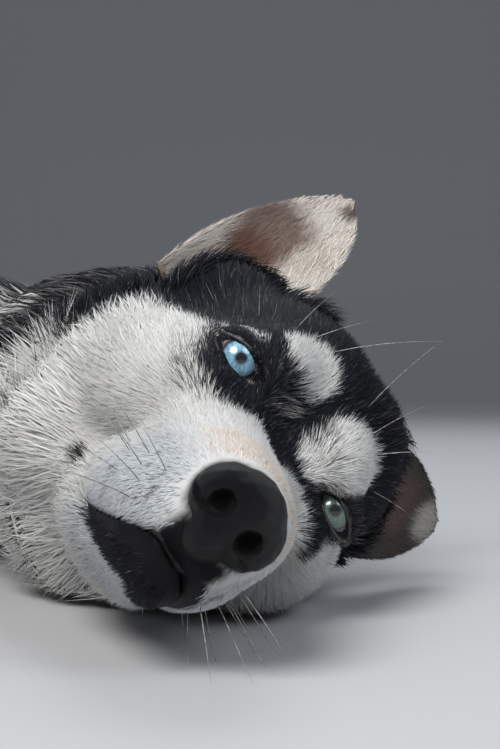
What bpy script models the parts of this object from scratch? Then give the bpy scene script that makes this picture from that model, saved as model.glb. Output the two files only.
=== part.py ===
# Siberian husky, adult, life-size, lying on its left side with its head laid on the ground.
#
# The dog is modelled whole from overlapping volumes of flesh and coat, fused into one smooth
# surface, and parted at the joints by thin cuts. Units are metres, +Z is up. The nose points
# towards -Y, the right side of the body faces up, and the legs reach towards -X.

from math import cos, pi, radians, sin, tau
from random import Random

import bmesh
import bpy
from mathutils import Matrix, Vector
from mathutils.bvhtree import BVHTree

for old in list(bpy.data.objects):
    bpy.data.objects.remove(old)

MM = 0.001
GAP = 0.3 * MM

# The head, whose own frame has x to the dog's right, y forward and z up, in millimetres,
# with its origin half way between the pupils.
EYE_HEIGHT = 69.4 * MM
HEAD_YAW = radians(7.3)
HEAD_PITCH = radians(-1.8)
HEAD_ROLL = radians(58.0)
HEAD_PLACE = Vector((11.7 * MM, 507 * MM, EYE_HEIGHT))
HALF_EYE_SPACING = 31.4
EYE_RADIUS = 11.2
GAZE = Vector((0.16, 0.98, -0.05)).normalized()
LID_THICKNESS = 1.7
NOSE_FRONT = 101.0
NOSE_HEIGHT = -33.0
NOSE_HALF_WIDTH = 16.6
EAR_THICKNESS = 4.2
MUZZLE_SEAM = 8.0

# The body, whose own frame has f forward along the back, d towards the back and r to the
# dog's right, in millimetres, with its origin between the shoulders.
BODY_TURN = radians(52)
BODY_PLACE = Vector((-170 * MM, 806 * MM, 80 * MM))

HEAD_ROOM = 280 * MM
COARSE_VOXEL = 4.0 * MM
FINE_VOXEL = 2.0 * MM
HEAD_SMOOTHING = 26
BODY_SMOOTHING = 8
BODY_TRIANGLES = 3000
PAW_TRIANGLES = 4800
HEAD_TRIANGLES = 3800
JAW_TRIANGLES = 300
NOSE_TRIANGLES = 380

COLOURS = {
    "white_coat": ((0.80, 0.79, 0.76), 0.8),
    "dark_coat": ((0.05, 0.05, 0.055), 0.8),
    "grey_coat": ((0.30, 0.29, 0.28), 0.8),
    "nose_skin": ((0.012, 0.012, 0.014), 0.35),
    "blue_eye": ((0.30, 0.62, 0.80), 0.08),
}

RIGHT, FORWARD, UP = Vector((1, 0, 0)), Vector((0, 1, 0)), Vector((0, 0, 1))


def head_matrix():
    """From the head's frame, in millimetres, to the ground's, in metres."""
    facing = Matrix.Rotation(pi + HEAD_YAW, 4, "Z")
    nodding = Matrix.Rotation(HEAD_PITCH, 4, "X")
    rolling = Matrix.Rotation(-HEAD_ROLL, 4, "Y")
    return Matrix.Translation(HEAD_PLACE) @ facing @ nodding @ rolling @ Matrix.Scale(MM, 4)


def body_matrix():
    """From the body's frame (f, d, r), in millimetres, to the ground's, in metres."""
    forward = Vector((sin(BODY_TURN), -cos(BODY_TURN), 0))
    dorsal = Vector((cos(BODY_TURN), sin(BODY_TURN), 0))
    turn = Matrix((forward, dorsal, UP)).transposed().to_4x4()
    return Matrix.Translation(BODY_PLACE) @ turn @ Matrix.Scale(MM, 4)


HEAD = head_matrix()
BODY = body_matrix()


# Meshes and modifiers


def coat_material(name):
    found = bpy.data.materials.get(name)
    if found:
        return found
    colour, roughness = COLOURS[name]
    material = bpy.data.materials.new(name)
    material.use_nodes = True
    shader = material.node_tree.nodes["Principled BSDF"]
    shader.inputs["Base Color"].default_value = (*colour, 1)
    shader.inputs["Roughness"].default_value = roughness
    shader.inputs["Metallic"].default_value = 0
    return material


def make_object(name, bm, material="white_coat"):
    """An object from a bmesh, which is freed, with every face turned outwards."""
    bmesh.ops.recalc_face_normals(bm, faces=bm.faces)
    mesh = bpy.data.meshes.new(name)
    bm.to_mesh(mesh)
    bm.free()
    mesh.materials.append(coat_material(material))
    made = bpy.data.objects.new(name, mesh)
    bpy.context.scene.collection.objects.link(made)
    return made


def add_ellipsoid(bm, centre, radii, place, turn=None, rings=14):
    """A closed ellipsoid at centre, in the frame of place, turned about its own centre."""
    shape = Matrix.Translation(Vector(centre)) @ (turn or Matrix()) @ Matrix.Diagonal((*radii, 1))
    bmesh.ops.create_uvsphere(bm, u_segments=rings + 6, v_segments=rings, radius=1, matrix=place @ shape)


def add_skin(bm, rings):
    """Closed tube through rings of points with the same count, capped at both ends."""
    loops = [[bm.verts.new(p) for p in ring] for ring in rings]
    count = len(loops[0])
    for near, far in zip(loops, loops[1:]):
        for i in range(count):
            j = (i + 1) % count
            bm.faces.new((near[i], near[j], far[j], far[i]))
    bm.faces.new(reversed(loops[0]))
    bm.faces.new(loops[-1])


def smooth_stations(stations, steps):
    """Catmull-Rom points between hand-set stations, each a tuple of numbers."""
    last = len(stations) - 1
    out = []
    for i in range(last):
        a, b = stations[max(i - 1, 0)], stations[i]
        c, d = stations[i + 1], stations[min(i + 2, last)]
        for k in range(steps):
            t = k / steps
            out.append(tuple(
                0.5 * (2 * q + (r - p) * t + (2 * p - 5 * q + 4 * r - s) * t * t + (3 * q - p - 3 * r + s) * t ** 3)
                for p, q, r, s in zip(a, b, c, d)
            ))
    out.append(tuple(stations[-1]))
    return out


def add_tube(bm, stations, place, side, sides=20, steps=3, power=2.0):
    """Tube along stations (x, y, z, half size along side, half size across it).

    power above 2 makes the section squarer. side is a direction in the frame of place.
    """
    fine = smooth_stations(stations, steps)
    points = [Vector(s[:3]) for s in fine]
    rings = []
    for i, (point, station) in enumerate(zip(points, fine)):
        along = (points[min(i + 1, len(points) - 1)] - points[max(i - 1, 0)]).normalized()
        sideways = (side - along * side.dot(along)).normalized()
        across = along.cross(sideways)
        ring = []
        for k in range(sides):
            c, s = cos(tau * k / sides), sin(tau * k / sides)
            c = abs(c) ** (2 / power) * (1 if c >= 0 else -1)
            s = abs(s) ** (2 / power) * (1 if s >= 0 else -1)
            ring.append(place @ (point + sideways * station[3] * c + across * station[4] * s))
        rings.append(ring)
    add_skin(bm, rings)


def bake(made):
    """Applies the object's modifiers to its own mesh."""
    graph = bpy.context.evaluated_depsgraph_get()
    mesh = bpy.data.meshes.new_from_object(made.evaluated_get(graph))
    made.modifiers.clear()
    made.data = mesh
    return made


def fuse_and_smooth(made, voxel, rounds):
    """One smooth closed surface round all the overlapping volumes of an object."""
    remesh = made.modifiers.new("fuse", "REMESH")
    remesh.mode = "VOXEL"
    remesh.voxel_size = voxel
    smooth = made.modifiers.new("smooth", "SMOOTH")
    smooth.factor = 0.5
    smooth.iterations = rounds
    return bake(made)


def thin_out(made, triangles):
    """Fewer triangles, kept where the form turns most."""
    have = sum(len(p.vertices) - 2 for p in made.data.polygons)
    decimate = made.modifiers.new("thin", "DECIMATE")
    decimate.ratio = min(1, triangles / have)
    decimate.use_collapse_triangulate = True
    return bake(made)


def boolean(made, others, operation, solver="EXACT"):
    """Joins or cuts with other closed objects, which are then removed."""
    tools = bpy.data.collections.new("tools")
    for other in others:
        for held in other.users_collection:
            held.objects.unlink(other)
        tools.objects.link(other)
    bpy.context.scene.collection.children.link(tools)
    modifier = made.modifiers.new("boolean", "BOOLEAN")
    modifier.operation = operation
    modifier.operand_type = "COLLECTION"
    modifier.collection = tools
    modifier.solver = solver
    bake(made)
    for other in others:
        bpy.data.objects.remove(other)
    bpy.data.collections.remove(tools)
    return made


def copy_of(made):
    twin = made.copy()
    twin.data = made.data.copy()
    bpy.context.scene.collection.objects.link(twin)
    return twin


def fattened(made, by):
    """A copy grown evenly by a small distance, to cut a neighbour clear of the original."""
    twin = copy_of(made)
    bm = bmesh.new()
    bm.from_mesh(twin.data)
    bm.normal_update()
    moves = [v.normal * v.calc_shell_factor() * by for v in bm.verts]
    for vertex, move in zip(bm.verts, moves):
        vertex.co += move
    bm.to_mesh(twin.data)
    bm.free()
    return twin


def islands(bm):
    """The vertices of each separate closed surface."""
    left = set(bm.verts)
    found = []
    while left:
        stack = [left.pop()]
        island = set(stack)
        while stack:
            for edge in stack.pop().link_edges:
                for vertex in edge.verts:
                    if vertex in left:
                        left.remove(vertex)
                        island.add(vertex)
                        stack.append(vertex)
        found.append(island)
    return found


def keep_largest(made):
    """Drops loose scraps, and leaves every face a triangle."""
    bm = bmesh.new()
    bm.from_mesh(made.data)
    found = sorted(islands(bm), key=len)
    for island in found[:-1]:
        bmesh.ops.delete(bm, geom=list(island), context="VERTS")
    bmesh.ops.triangulate(bm, faces=bm.faces)
    bm.to_mesh(made.data)
    bm.free()
    return made


def cut_by_plane(made, point, normal):
    """Keeps what lies behind a plane and closes the cut."""
    bm = bmesh.new()
    bm.from_mesh(made.data)
    geometry = bm.verts[:] + bm.edges[:] + bm.faces[:]
    cut = bmesh.ops.bisect_plane(
        bm, geom=geometry, dist=1e-6, plane_co=point, plane_no=normal, clear_outer=True
    )["geom_cut"]
    edges = [e for e in cut if isinstance(e, bmesh.types.BMEdge)]
    if edges:
        bmesh.ops.triangle_fill(bm, use_beauty=True, edges=edges, normal=normal)
    bmesh.ops.recalc_face_normals(bm, faces=bm.faces)
    bm.to_mesh(made.data)
    bm.free()
    return made


# Volumes of the head


def add_cheeks_and_throat(bm):
    """The short dense coat of the cheeks and throat, out to where the long locks start."""
    for side in (-1, 1):
        add_ellipsoid(bm, (side * 34, -74, -62), (34, 40, 40), HEAD)
    add_ellipsoid(bm, (0, -88, -78), (50, 40, 36), HEAD)


def add_cranium(bm):
    add_ellipsoid(bm, (0, -66, -4), (54, 66, 54), HEAD)
    add_ellipsoid(bm, (-20, -70, 2), (40, 58, 50), HEAD)
    for side in (-1, 1):
        add_ellipsoid(bm, (side * 18, -20, 7), (21, 28, 21), HEAD)
        add_ellipsoid(bm, (side * 34, -40, -24), (29, 44, 33), HEAD)
        add_ellipsoid(bm, (side * 44, -74, -32), (30, 40, 42), HEAD)
        add_ellipsoid(bm, (side * 43, -80, 8), (23, 30, 28), HEAD)
        add_ellipsoid(bm, (side * 29, -10, -18), (15, 26, 17), HEAD)


MUZZLE = (
    (0, -34, -24, 36, 30),
    (0, -8, -26, 32, 27),
    (0, 15, -31, 30, 25),
    (0, 40, -33.5, 26.5, 23.5),
    (0, 65, -34.5, 24, 22),
    (0, 84, -35, 21, 20),
    (0, 90, -36, 17, 17),
    (0, 93, -36, 10, 10),
)
THROAT = (
    (0, -8, -58, 24, 16),
    (0, -34, -62, 36, 24),
    (0, -62, -60, 50, 38),
    (0, -98, -52, 60, 52),
)
JAW = (
    (0, -44, -71, 27, 13),
    (0, -20, -71, 25, 13),
    (0, 10, -68.5, 23, 13),
    (0, 40, -64.5, 20, 12),
    (0, 65, -60.5, 17.5, 11.5),
    (0, 80, -57.5, 14, 10),
    (0, 87, -56, 8, 6),
)


def add_muzzle(bm):
    add_tube(bm, MUZZLE, HEAD, RIGHT, sides=24, power=2.3)
    for side in (-1, 1):
        flew = (
            (side * 9, 88, -42, 9, 9.5),
            (side * 13.5, 72, -46, 10, 14.5),
            (side * 16.5, 47, -50, 11, 15.5),
            (side * 19.5, 22, -53.5, 11, 15),
            (side * 24, 0, -53, 10, 13),
        )
        add_tube(bm, flew, HEAD, RIGHT, sides=14)


def head_volumes(bm):
    add_cranium(bm)
    add_cheeks_and_throat(bm)
    add_muzzle(bm)
    add_tube(bm, THROAT, HEAD, RIGHT, sides=20)


# Volumes of the body


def from_head(x, y, z):
    """A point of the head in the body's own frame."""
    return tuple(BODY.inverted() @ (HEAD @ Vector((x, y, z))))


NECK = (
    (*from_head(0, -62, -14), 56, 62),
    (*from_head(8, -112, -26), 70, 76),
    (*from_head(16, -160, -46), 72, 84),
    (84, 14, -10, 68, 92),
    (10, 4, -10, 68, 106),
)
TRUNK = (
    (92, -24, -14, 42, 56),
    (56, -18, -12, 56, 88),
    (-10, -8, -6, 70, 116),
    (-95, -6, 4, 89, 124),
    (-190, -2, 7, 95, 122),
    (-280, 12, 4, 88, 106),
    (-360, 26, -4, 75, 84),
    (-435, 30, -8, 71, 76),
    (-500, 28, -10, 62, 64),
    (-540, 32, -12, 42, 40),
)
TAIL = (
    (-505, 52, -20, 26, 26),
    (-560, 50, -34, 30, 32),
    (-620, 56, -41, 37, 42),
    (-680, 78, -43, 40, 50),
    (-732, 116, -44, 39, 50),
    (-768, 164, -48, 33, 41),
    (-784, 204, -55, 21, 26),
    (-790, 232, -62, 9, 10),
)
FORELEG_RIGHT = (
    (-34, 44, 34, 34, 62),
    (22, -34, 38, 34, 56),
    (-14, -92, 42, 33, 46),
    (-58, -134, 38, 28, 36),
    (-42, -185, 24, 24, 27),
    (-14, -250, -1, 20, 21),
    (8, -304, -24, 19, 20),
    (26, -340, -43, 19, 19),
)
FORELEG_LEFT = (
    (-20, 40, -38, 34, 60),
    (30, -30, -40, 34, 54),
    (-6, -92, -46, 32, 44),
    (-46, -134, -50, 27, 34),
    (6, -176, -54, 23, 26),
    (64, -220, -58, 20, 21),
    (108, -254, -59, 19, 20),
    (138, -282, -60, 19, 19),
)
HINDLEG_RIGHT = (
    (-452, 30, 26, 38, 78),
    (-420, -40, 30, 42, 74),
    (-388, -104, 28, 36, 54),
    (-392, -156, 20, 29, 38),
    (-440, -208, 4, 23, 28),
    (-496, -256, -14, 19, 22),
    (-492, -292, -26, 17.5, 18),
    (-470, -350, -52, 18, 18),
)
HINDLEG_LEFT = (
    (-440, 20, -30, 38, 74),
    (-360, -38, -38, 38, 66),
    (-290, -84, -44, 34, 50),
    (-282, -136, -50, 28, 36),
    (-312, -206, -56, 22, 26),
    (-336, -266, -60, 18, 21),
    (-318, -296, -61, 17, 18),
    (-270, -336, -61, 18, 18),
)

# Each paw: where it starts, which way it points, and which way its upper side faces (f, d, r).
PAWS = {
    "front_right": ((28, -344, -47), (0.62, -0.75, -0.20), (0.77, 0.62, 0.10)),
    "front_left": ((142, -285, -59), (0.90, -0.43, 0.0), (0.43, 0.90, 0.0)),
    "hind_right": ((-466, -356, -54), (0.62, -0.78, -0.08), (0.78, 0.62, 0.0)),
    "hind_left": ((-264, -340, -60), (0.93, -0.36, 0.0), (0.36, 0.93, 0.0)),
}
TOE_LENGTHS = (0.86, 1.0, 1.0, 0.86)
TOE_SPACING = 11.5
TOE_REACH = 52.0
CLAW_LENGTH = 15.0


def paw_frame(name):
    """From the paw's own frame (x across the toes, y along them, z to its upper side)."""
    start, along, top = (Vector(v) for v in PAWS[name])
    along.normalize()
    top = (top - along * top.dot(along)).normalized()
    across = along.cross(top)
    turn = Matrix((across, along, top)).transposed().to_4x4()
    return BODY @ Matrix.Translation(start) @ turn


def toe_places():
    """Across, tip reach and size of each toe."""
    for i, length in enumerate(TOE_LENGTHS):
        yield (i - 1.5) * TOE_SPACING, TOE_REACH * length, length


def add_paw(bm, name):
    place = paw_frame(name)
    add_ellipsoid(bm, (0, 4, 0), (21, 26, 18), place)
    add_ellipsoid(bm, (0, 18, -8), (19, 16, 12), place)
    for across, reach, length in toe_places():
        fan = Matrix.Rotation(radians(-0.45 * across), 4, "Z")
        add_ellipsoid(bm, (across * 0.9, reach * 0.56, 1), (8.8, 22 * length, 12), place, fan, 10)
        add_ellipsoid(bm, (across * 1.05, reach * 0.84, -4), (8.4, 12, 10.5), place, fan, 10)


def body_volumes(bm):
    add_tube(bm, NECK, BODY, UP, sides=24)
    add_tube(bm, TRUNK, BODY, UP, sides=28)
    for leg in (FORELEG_RIGHT, FORELEG_LEFT, HINDLEG_RIGHT, HINDLEG_LEFT):
        add_tube(bm, leg, BODY, UP, sides=18)
    for name in PAWS:
        add_paw(bm, name)


# Cuts between the parts of the body: a point, the direction across the cut, and half its width


def across_leg(leg, index):
    """The cut across a leg at one of its stations."""
    here, after = Vector(leg[index][:3]), Vector(leg[index + 1][:3])
    before = Vector(leg[index - 1][:3])
    return here, (after - before).normalized(), 1.25 * max(leg[index][3:])


WRIST = 6
KNEE, HOCK = 3, 6
TAIL_MIDDLE = 3
NECK_SEAM = (Vector((92, 14, -9)), Vector((0.94, 0.34, 0)), 180)
WAIST_SEAM = (Vector((-226, 0, 0)), Vector((1, 0, 0)), 170)
TAIL_SEAM = (Vector((-552, 52, -30)), Vector((1, 0.05, 0)), 60)
ELBOW_SEAM = (Vector((-45, -130, 0)), Vector((0, 1, 0)), 92)
GROIN_SEAMS = (
    (Vector((-434, -53, 0)), Vector((0.155, 0.988, 0)), 104),
    (Vector((-300, -90, 0)), Vector((0.516, 0.857, 0)), 84),
)
CROTCH_SEAM = (Vector((-372, -144, -9)), Vector((0, 0, 1)), 95)


def add_slab(bm, point, normal, half_width):
    """A thin square plate in the body's frame, whose thickness is the gap of a cut."""
    normal = normal.normalized()
    level = normal.cross(UP if abs(normal.z) < 0.9 else RIGHT).normalized()
    turn = Matrix((level, normal.cross(level), normal)).transposed().to_4x4()
    size = Matrix.Diagonal((2 * half_width, 2 * half_width, GAP / MM, 1))
    bmesh.ops.create_cube(bm, size=1, matrix=BODY @ Matrix.Translation(point) @ turn @ size)


def seam_plates():
    """All the cuts through the body, one object each."""
    seams = [NECK_SEAM, WAIST_SEAM, TAIL_SEAM, ELBOW_SEAM, *GROIN_SEAMS, CROTCH_SEAM]
    seams += [across_leg(TAIL, TAIL_MIDDLE), across_leg(FORELEG_RIGHT, WRIST), across_leg(FORELEG_LEFT, WRIST)]
    for leg in (HINDLEG_RIGHT, HINDLEG_LEFT):
        seams += [across_leg(leg, KNEE), across_leg(leg, HOCK)]
    plates = []
    for point, normal, half_width in seams:
        bm = bmesh.new()
        add_slab(bm, point, normal, half_width)
        plates.append(make_object("plate", bm))
    return plates


# A point inside each part, in the body's frame, by which the parts of the cut body are named
PART_POINTS = {
    "neck": from_head(10, -150, -34),
    "chest": (-110, 0, 0),
    "loin": (-400, 20, 0),
    "tail": TAIL[2][:3],
    "tail_end": TAIL[5][:3],
    "thigh_right": HINDLEG_RIGHT[2][:3],
    "thigh_left": (-284, -118, -46),
    "forearm_right": FORELEG_RIGHT[5][:3],
    "forearm_left": FORELEG_LEFT[5][:3],
    "shank_right": HINDLEG_RIGHT[5][:3],
    "shank_left": HINDLEG_LEFT[5][:3],
    "front_paw_right": PAWS["front_right"][0],
    "front_paw_left": PAWS["front_left"][0],
    "hind_paw_right": PAWS["hind_right"][0],
    "hind_paw_left": PAWS["hind_left"][0],
}

PART_COATS = {
    "neck": "white_coat",
    "chest": "grey_coat",
    "loin": "dark_coat",
    "tail": "dark_coat",
    "tail_end": "dark_coat",
}


def head_seam():
    """Point and direction, pointing to the nose, of the plane between the head and the neck."""
    point = HEAD @ Vector((4, -104, -22))
    back = (HEAD @ Vector((12, -150, -34))) - (HEAD @ Vector((0, -60, -12)))
    return point, -back.normalized()


def head_space():
    """A block over the whole head, with one face along the seam to the neck."""
    point, normal = head_seam()
    turn = normal.to_track_quat("Z", "Y").to_matrix().to_4x4()
    middle = point + normal * (HEAD_ROOM / 2 - GAP / 2)
    bm = bmesh.new()
    bmesh.ops.create_cube(bm, size=HEAD_ROOM, matrix=Matrix.Translation(middle) @ turn)
    return make_object("head_space", bm)


def holds(tree, point):
    """Whether a point lies inside a closed surface, by the count of walls above it."""
    walls = 0
    direction = Vector((0.013, 0.021, 1)).normalized()
    while walls < 50:
        hit, _, _, _ = tree.ray_cast(point, direction)
        if hit is None:
            break
        walls += 1
        point = hit + direction * 1e-6
    return walls % 2 == 1


def name_islands(bm):
    """Each separate surface of a cut body, with the name of the part whose point is inside it."""
    named = {}
    for island in islands(bm):
        faces = list({f for v in island for f in v.link_faces})
        piece = bmesh.new()
        copies = {v: piece.verts.new(v.co) for v in island}
        for face in faces:
            piece.faces.new([copies[v] for v in face.verts])
        tree = BVHTree.FromBMesh(piece)
        for name, point in PART_POINTS.items():
            if holds(tree, BODY @ Vector(point)):
                named[name] = piece
                break
        else:
            piece.free()
    return named


def parted(whole):
    """Cuts a whole body at its seams and returns the named pieces as bmeshes."""
    boolean(whole, [head_space()], "DIFFERENCE")
    boolean(whole, seam_plates(), "DIFFERENCE")
    bm = bmesh.new()
    bm.from_mesh(whole.data)
    bpy.data.objects.remove(whole)
    named = name_islands(bm)
    bm.free()
    return named


def make_body():
    """The neck, trunk, legs, paws and tail, each an object."""
    bm = bmesh.new()
    head_volumes(bm)
    body_volumes(bm)
    add_tube(bm, TAIL, BODY, UP, sides=18)
    whole = fuse_and_smooth(make_object("whole", bm), COARSE_VOXEL, BODY_SMOOTHING)
    fine = copy_of(whole)
    thin_out(whole, BODY_TRIANGLES)
    thin_out(fine, PAW_TRIANGLES)
    coarse_parts = parted(whole)
    fine_parts = parted(fine)
    made = {}
    for name in PART_POINTS:
        source = fine_parts if "paw" in name else coarse_parts
        if name not in source:
            raise RuntimeError(f"no part of the body holds the point of {name}")
        made[name] = make_object(name, source[name].copy(), PART_COATS.get(name, "white_coat"))
    return made


# The claws


def add_claws(name, paw):
    """Four curved, tapering claws fused to the tips of a paw's toes."""
    place = paw_frame(name)
    claws = []
    for across, reach, length in toe_places():
        bm = bmesh.new()
        base = reach + 1
        stations = (
            (across * 1.08, base - 7, 0, 3.0, 3.6),
            (across * 1.1, base, -1, 2.6, 3.0),
            (across * 1.12, base + CLAW_LENGTH * 0.35, -4, 1.8, 2.0),
            (across * 1.12, base + CLAW_LENGTH * 0.5 * length, -8.5, 0.5, 0.5),
        )
        add_tube(bm, stations, place, RIGHT, sides=5, steps=1)
        claws.append(make_object("claw", bm))
    return boolean(paw, claws, "UNION")


# The long coat


# Along a lock: how far, in its length, how high its middle lies over the body, in
# millimetres, and its width and thickness there as parts of the widest.
LOCK_STATIONS = (
    (0.00, -10.0, 0.62, 1.0),
    (0.26, -1.5, 0.96, 1.0),
    (0.58, 2.8, 1.0, 0.85),
    (0.84, 4.6, 0.58, 0.55),
)
LOCK_TIP_HEIGHT = 6.0
LOCK_THICKNESS = 9.5
LOWEST_ROOT = 14 * MM
LOWEST_TIP = 9 * MM
OUTSIDE = 0.4
SHORTEST_LOCK = 20 * MM
SHARPEST_BEND = 0.45
SEAM_MARGIN = 4 * MM
TRIM = 0.1 * MM


def lock_shape(surface, root, normal, lie, length, width, bend):
    """The rings and the tip of a lock that follows the body along the lie."""
    sideways = normal.cross(lie).normalized()

    def resting(reach, height):
        target = root + lie * length * reach + sideways * bend * reach * reach
        hit, outwards, _, _ = surface.find_nearest(target)
        return hit + outwards * height * MM, outwards

    rings = []
    for reach, height, wide, thick in LOCK_STATIONS:
        middle, outwards = resting(reach, height)
        across = outwards.cross(lie).normalized() * wide * width / 2
        deep = outwards * thick * LOCK_THICKNESS * MM / 2
        rings.append([middle + across, middle + deep, middle - across, middle - deep])
    return rings, resting(1, LOCK_TIP_HEIGHT)[0]


def stays_over(surface, points, normal):
    """Whether points lie over one side of a part, clear of the cut that ends it."""
    return all(surface.find_nearest(p)[1].dot(normal) > SHARPEST_BEND for p in points)


def add_lock(surface, root, lie, length, width, bend):
    """One flat, tapered lock, made shorter where it would reach past the end of its part."""
    _, normal, _, _ = surface.find_nearest(root)
    while length > SHORTEST_LOCK:
        rings, tip = lock_shape(surface, root, normal, lie, length, width, bend)
        beyond = tip + lie * SEAM_MARGIN
        if stays_over(surface, [tip, beyond, *rings[-1], *rings[-2]], normal):
            break
        length *= 0.85
    else:
        return None
    if tip.z < LOWEST_TIP:
        return None
    bm = bmesh.new()
    add_skin(bm, rings)
    end = [f for f in bm.faces if len(f.verts) == 4][-1]
    bmesh.ops.poke(bm, faces=[end])
    bm.verts.ensure_lookup_table()
    bm.verts[-1].co = tip
    bmesh.ops.triangulate(bm, faces=bm.faces)
    return make_object("lock", bm)


def locks_round(surface, stations, place, rows, angles, length, width, chance):
    """Locks in rows round a tube, each row a part of its length, in the order of growth."""
    fine = [Vector(s[:3]) for s in smooth_stations(stations, 6)]
    last = len(fine) - 1
    locks = []
    for number, along_part in enumerate(rows):
        for k, angle in enumerate(angles):
            spot = (along_part + chance.uniform(-0.02, 0.02)) * last
            i = min(int(spot), last - 1)
            middle = place @ fine[i].lerp(fine[i + 1], spot - i)
            along = (place.to_3x3() @ (fine[i + 1] - fine[i])).normalized()
            level = along.cross(UP).normalized()
            rise = level.cross(along)
            stagger = (0.5 if number % 2 else 0) * (angles[1] - angles[0])
            turn = radians(angle + stagger + chance.uniform(-5, 5))
            outwards = rise * cos(turn) + level * sin(turn)
            root, _, _, _ = surface.ray_cast(middle + outwards * OUTSIDE, -outwards)
            if root is None or root.z < LOWEST_ROOT:
                continue
            _, normal, _, _ = surface.find_nearest(root)
            droop = along - UP * chance.uniform(0.05, 0.30)
            lie = (droop - normal * droop.dot(normal)).normalized()
            size = chance.uniform(0.88, 1.12)
            bend = chance.uniform(-10, 10) * MM
            lock = add_lock(surface, root, lie, length * size * MM, width * size * MM, bend)
            if lock:
                locks.append(lock)
    return locks


def surface_of(piece):
    bm = bmesh.new()
    bm.from_mesh(piece.data)
    tree = BVHTree.FromBMesh(bm)
    bm.free()
    return tree


RUFF = (
    from_head(6, -84, -26),
    from_head(10, -118, -34),
    from_head(16, -160, -46),
    (84, 14, -10),
    (10, 4, -10),
)
# Each lot of locks: the part that carries it, the line it grows round, its rows as parts of
# that line, its angles from straight up, in degrees, and the length and width of a lock.
COAT = (
    ("neck", RUFF, (0.20, 0.37, 0.53), range(-96, 101, 38), 66, 54),
    ("chest", TRUNK, (0.22, 0.31, 0.40), range(-20, 71, 30), 64, 54),
    ("loin", TRUNK, (0.63, 0.74, 0.85), range(-18, 91, 36), 60, 54),
    ("thigh_right", HINDLEG_RIGHT, (0.2,), range(50, 111, 30), 54, 40),
    ("tail", TAIL, (0.24,), range(-100, 101, 62), 60, 38),
    ("tail_end", TAIL, (0.46, 0.62), range(-100, 101, 62), 60, 38),
)


# The cuts that a lock of each part must not pass
COAT_ENDS = {
    "neck": (NECK_SEAM,),
    "chest": (NECK_SEAM, WAIST_SEAM),
    "loin": (WAIST_SEAM, TAIL_SEAM),
    "tail": (TAIL_SEAM, across_leg(TAIL, TAIL_MIDDLE)),
    "tail_end": (across_leg(TAIL, TAIL_MIDDLE),),
    "thigh_right": (GROIN_SEAMS[0],),
}


def trim_coat(part, name):
    """Cuts off what reaches past a part's ends, a hair's breadth inside its own faces."""
    for point, normal, _ in COAT_ENDS[name]:
        side = 1 if (Vector(PART_POINTS[name]) - point).dot(normal) < 0 else -1
        outwards = (BODY.to_3x3() @ normal).normalized() * side
        cut_by_plane(part, BODY @ point - outwards * (GAP / 2 + TRIM), outwards)


def grow_coat(parts):
    """The long coat of the ruff, back, thighs and tail."""
    chance = Random(12)
    grown = {}
    for name, line, rows, angles, length, width in COAT:
        surface = surface_of(parts[name])
        locks = locks_round(surface, line, BODY, rows, angles, length, width, chance)
        grown.setdefault(name, []).extend(locks)
    for name, locks in grown.items():
        boolean(parts[name], locks, "UNION", "MANIFOLD")
        trim_coat(parts[name], name)


# The face


def make_head():
    """Skull, muzzle and upper lips as one smooth surface."""
    bm = bmesh.new()
    head_volumes(bm)
    add_tube(bm, NECK[:3], BODY, UP, sides=24)
    head = fuse_and_smooth(make_object("head", bm, "dark_coat"), FINE_VOXEL, HEAD_SMOOTHING)
    thin_out(head, HEAD_TRIANGLES)
    point, normal = head_seam()
    return cut_by_plane(head, point + normal * GAP / 2, -normal)


def part_muzzle(head):
    """Parts the head in front of the eyes into the skull and the muzzle."""
    muzzle = copy_of(head)
    muzzle.name = "muzzle"
    muzzle.data.materials[0] = coat_material("white_coat")
    point = HEAD @ Vector((0, MUZZLE_SEAM, 0))
    forward = (HEAD.to_3x3() @ FORWARD).normalized()
    cut_by_plane(head, point - forward * GAP / 2, forward)
    cut_by_plane(muzzle, point + forward * GAP / 2, -forward)
    return muzzle


def make_jaw(head):
    """The lower jaw, cut to lie against the upper lips and the throat."""
    bm = bmesh.new()
    add_tube(bm, JAW, HEAD, RIGHT, sides=20, power=2.2)
    jaw = fuse_and_smooth(make_object("lower_jaw", bm), FINE_VOXEL, 3)
    thin_out(jaw, JAW_TRIANGLES)
    return boolean(jaw, [fattened(head, GAP)], "DIFFERENCE")


def eye_centre(side):
    """The middle of an eyeball whose pupil sits half the eye spacing from the middle."""
    gaze = Vector((GAZE.x * (1 if side > 0 else 1.3), GAZE.y, GAZE.z))
    return Vector((side * HALF_EYE_SPACING, 0, 0)) - gaze * EYE_RADIUS


def eye_ball(name, side, radius, rings=10):
    bm = bmesh.new()
    add_ellipsoid(bm, eye_centre(side), (radius,) * 3, HEAD, Matrix.Rotation(pi / 2, 4, "X"), rings)
    return make_object(name, bm, "blue_eye")


FISSURE_LENGTH = 25.0
FISSURE_HEIGHTS = {1: 11.0, -1: 8.5}
FISSURE_TILT = radians(-6)
FISSURE_TURN = radians(-1)


def fissure(side):
    """An almond-shaped cutter that opens the lids along the gaze."""
    bm = bmesh.new()
    half = FISSURE_LENGTH / 2
    sag = FISSURE_HEIGHTS[side] / 2
    radius = (half * half + sag * sag) / (2 * sag)
    outline = []
    steps = 7
    for part in (1, -1):
        for k in range(steps):
            x = -part * half + part * 2 * half * k / steps
            outline.append((x, part * ((radius ** 2 - x * x) ** 0.5 - (radius - sag))))
    facing = Matrix.Rotation(-side * FISSURE_TILT, 4, "Y") @ Matrix.Rotation(-side * FISSURE_TURN, 4, "Z")
    centre = eye_centre(side)
    rings = []
    for depth, size in ((2.0, 0.90), (30.0, 1.15)):
        rings.append([HEAD @ (centre + facing @ Vector((x * size, depth, z * size))) for x, z in outline])
    add_skin(bm, rings)
    return make_object("fissure", bm)


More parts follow.
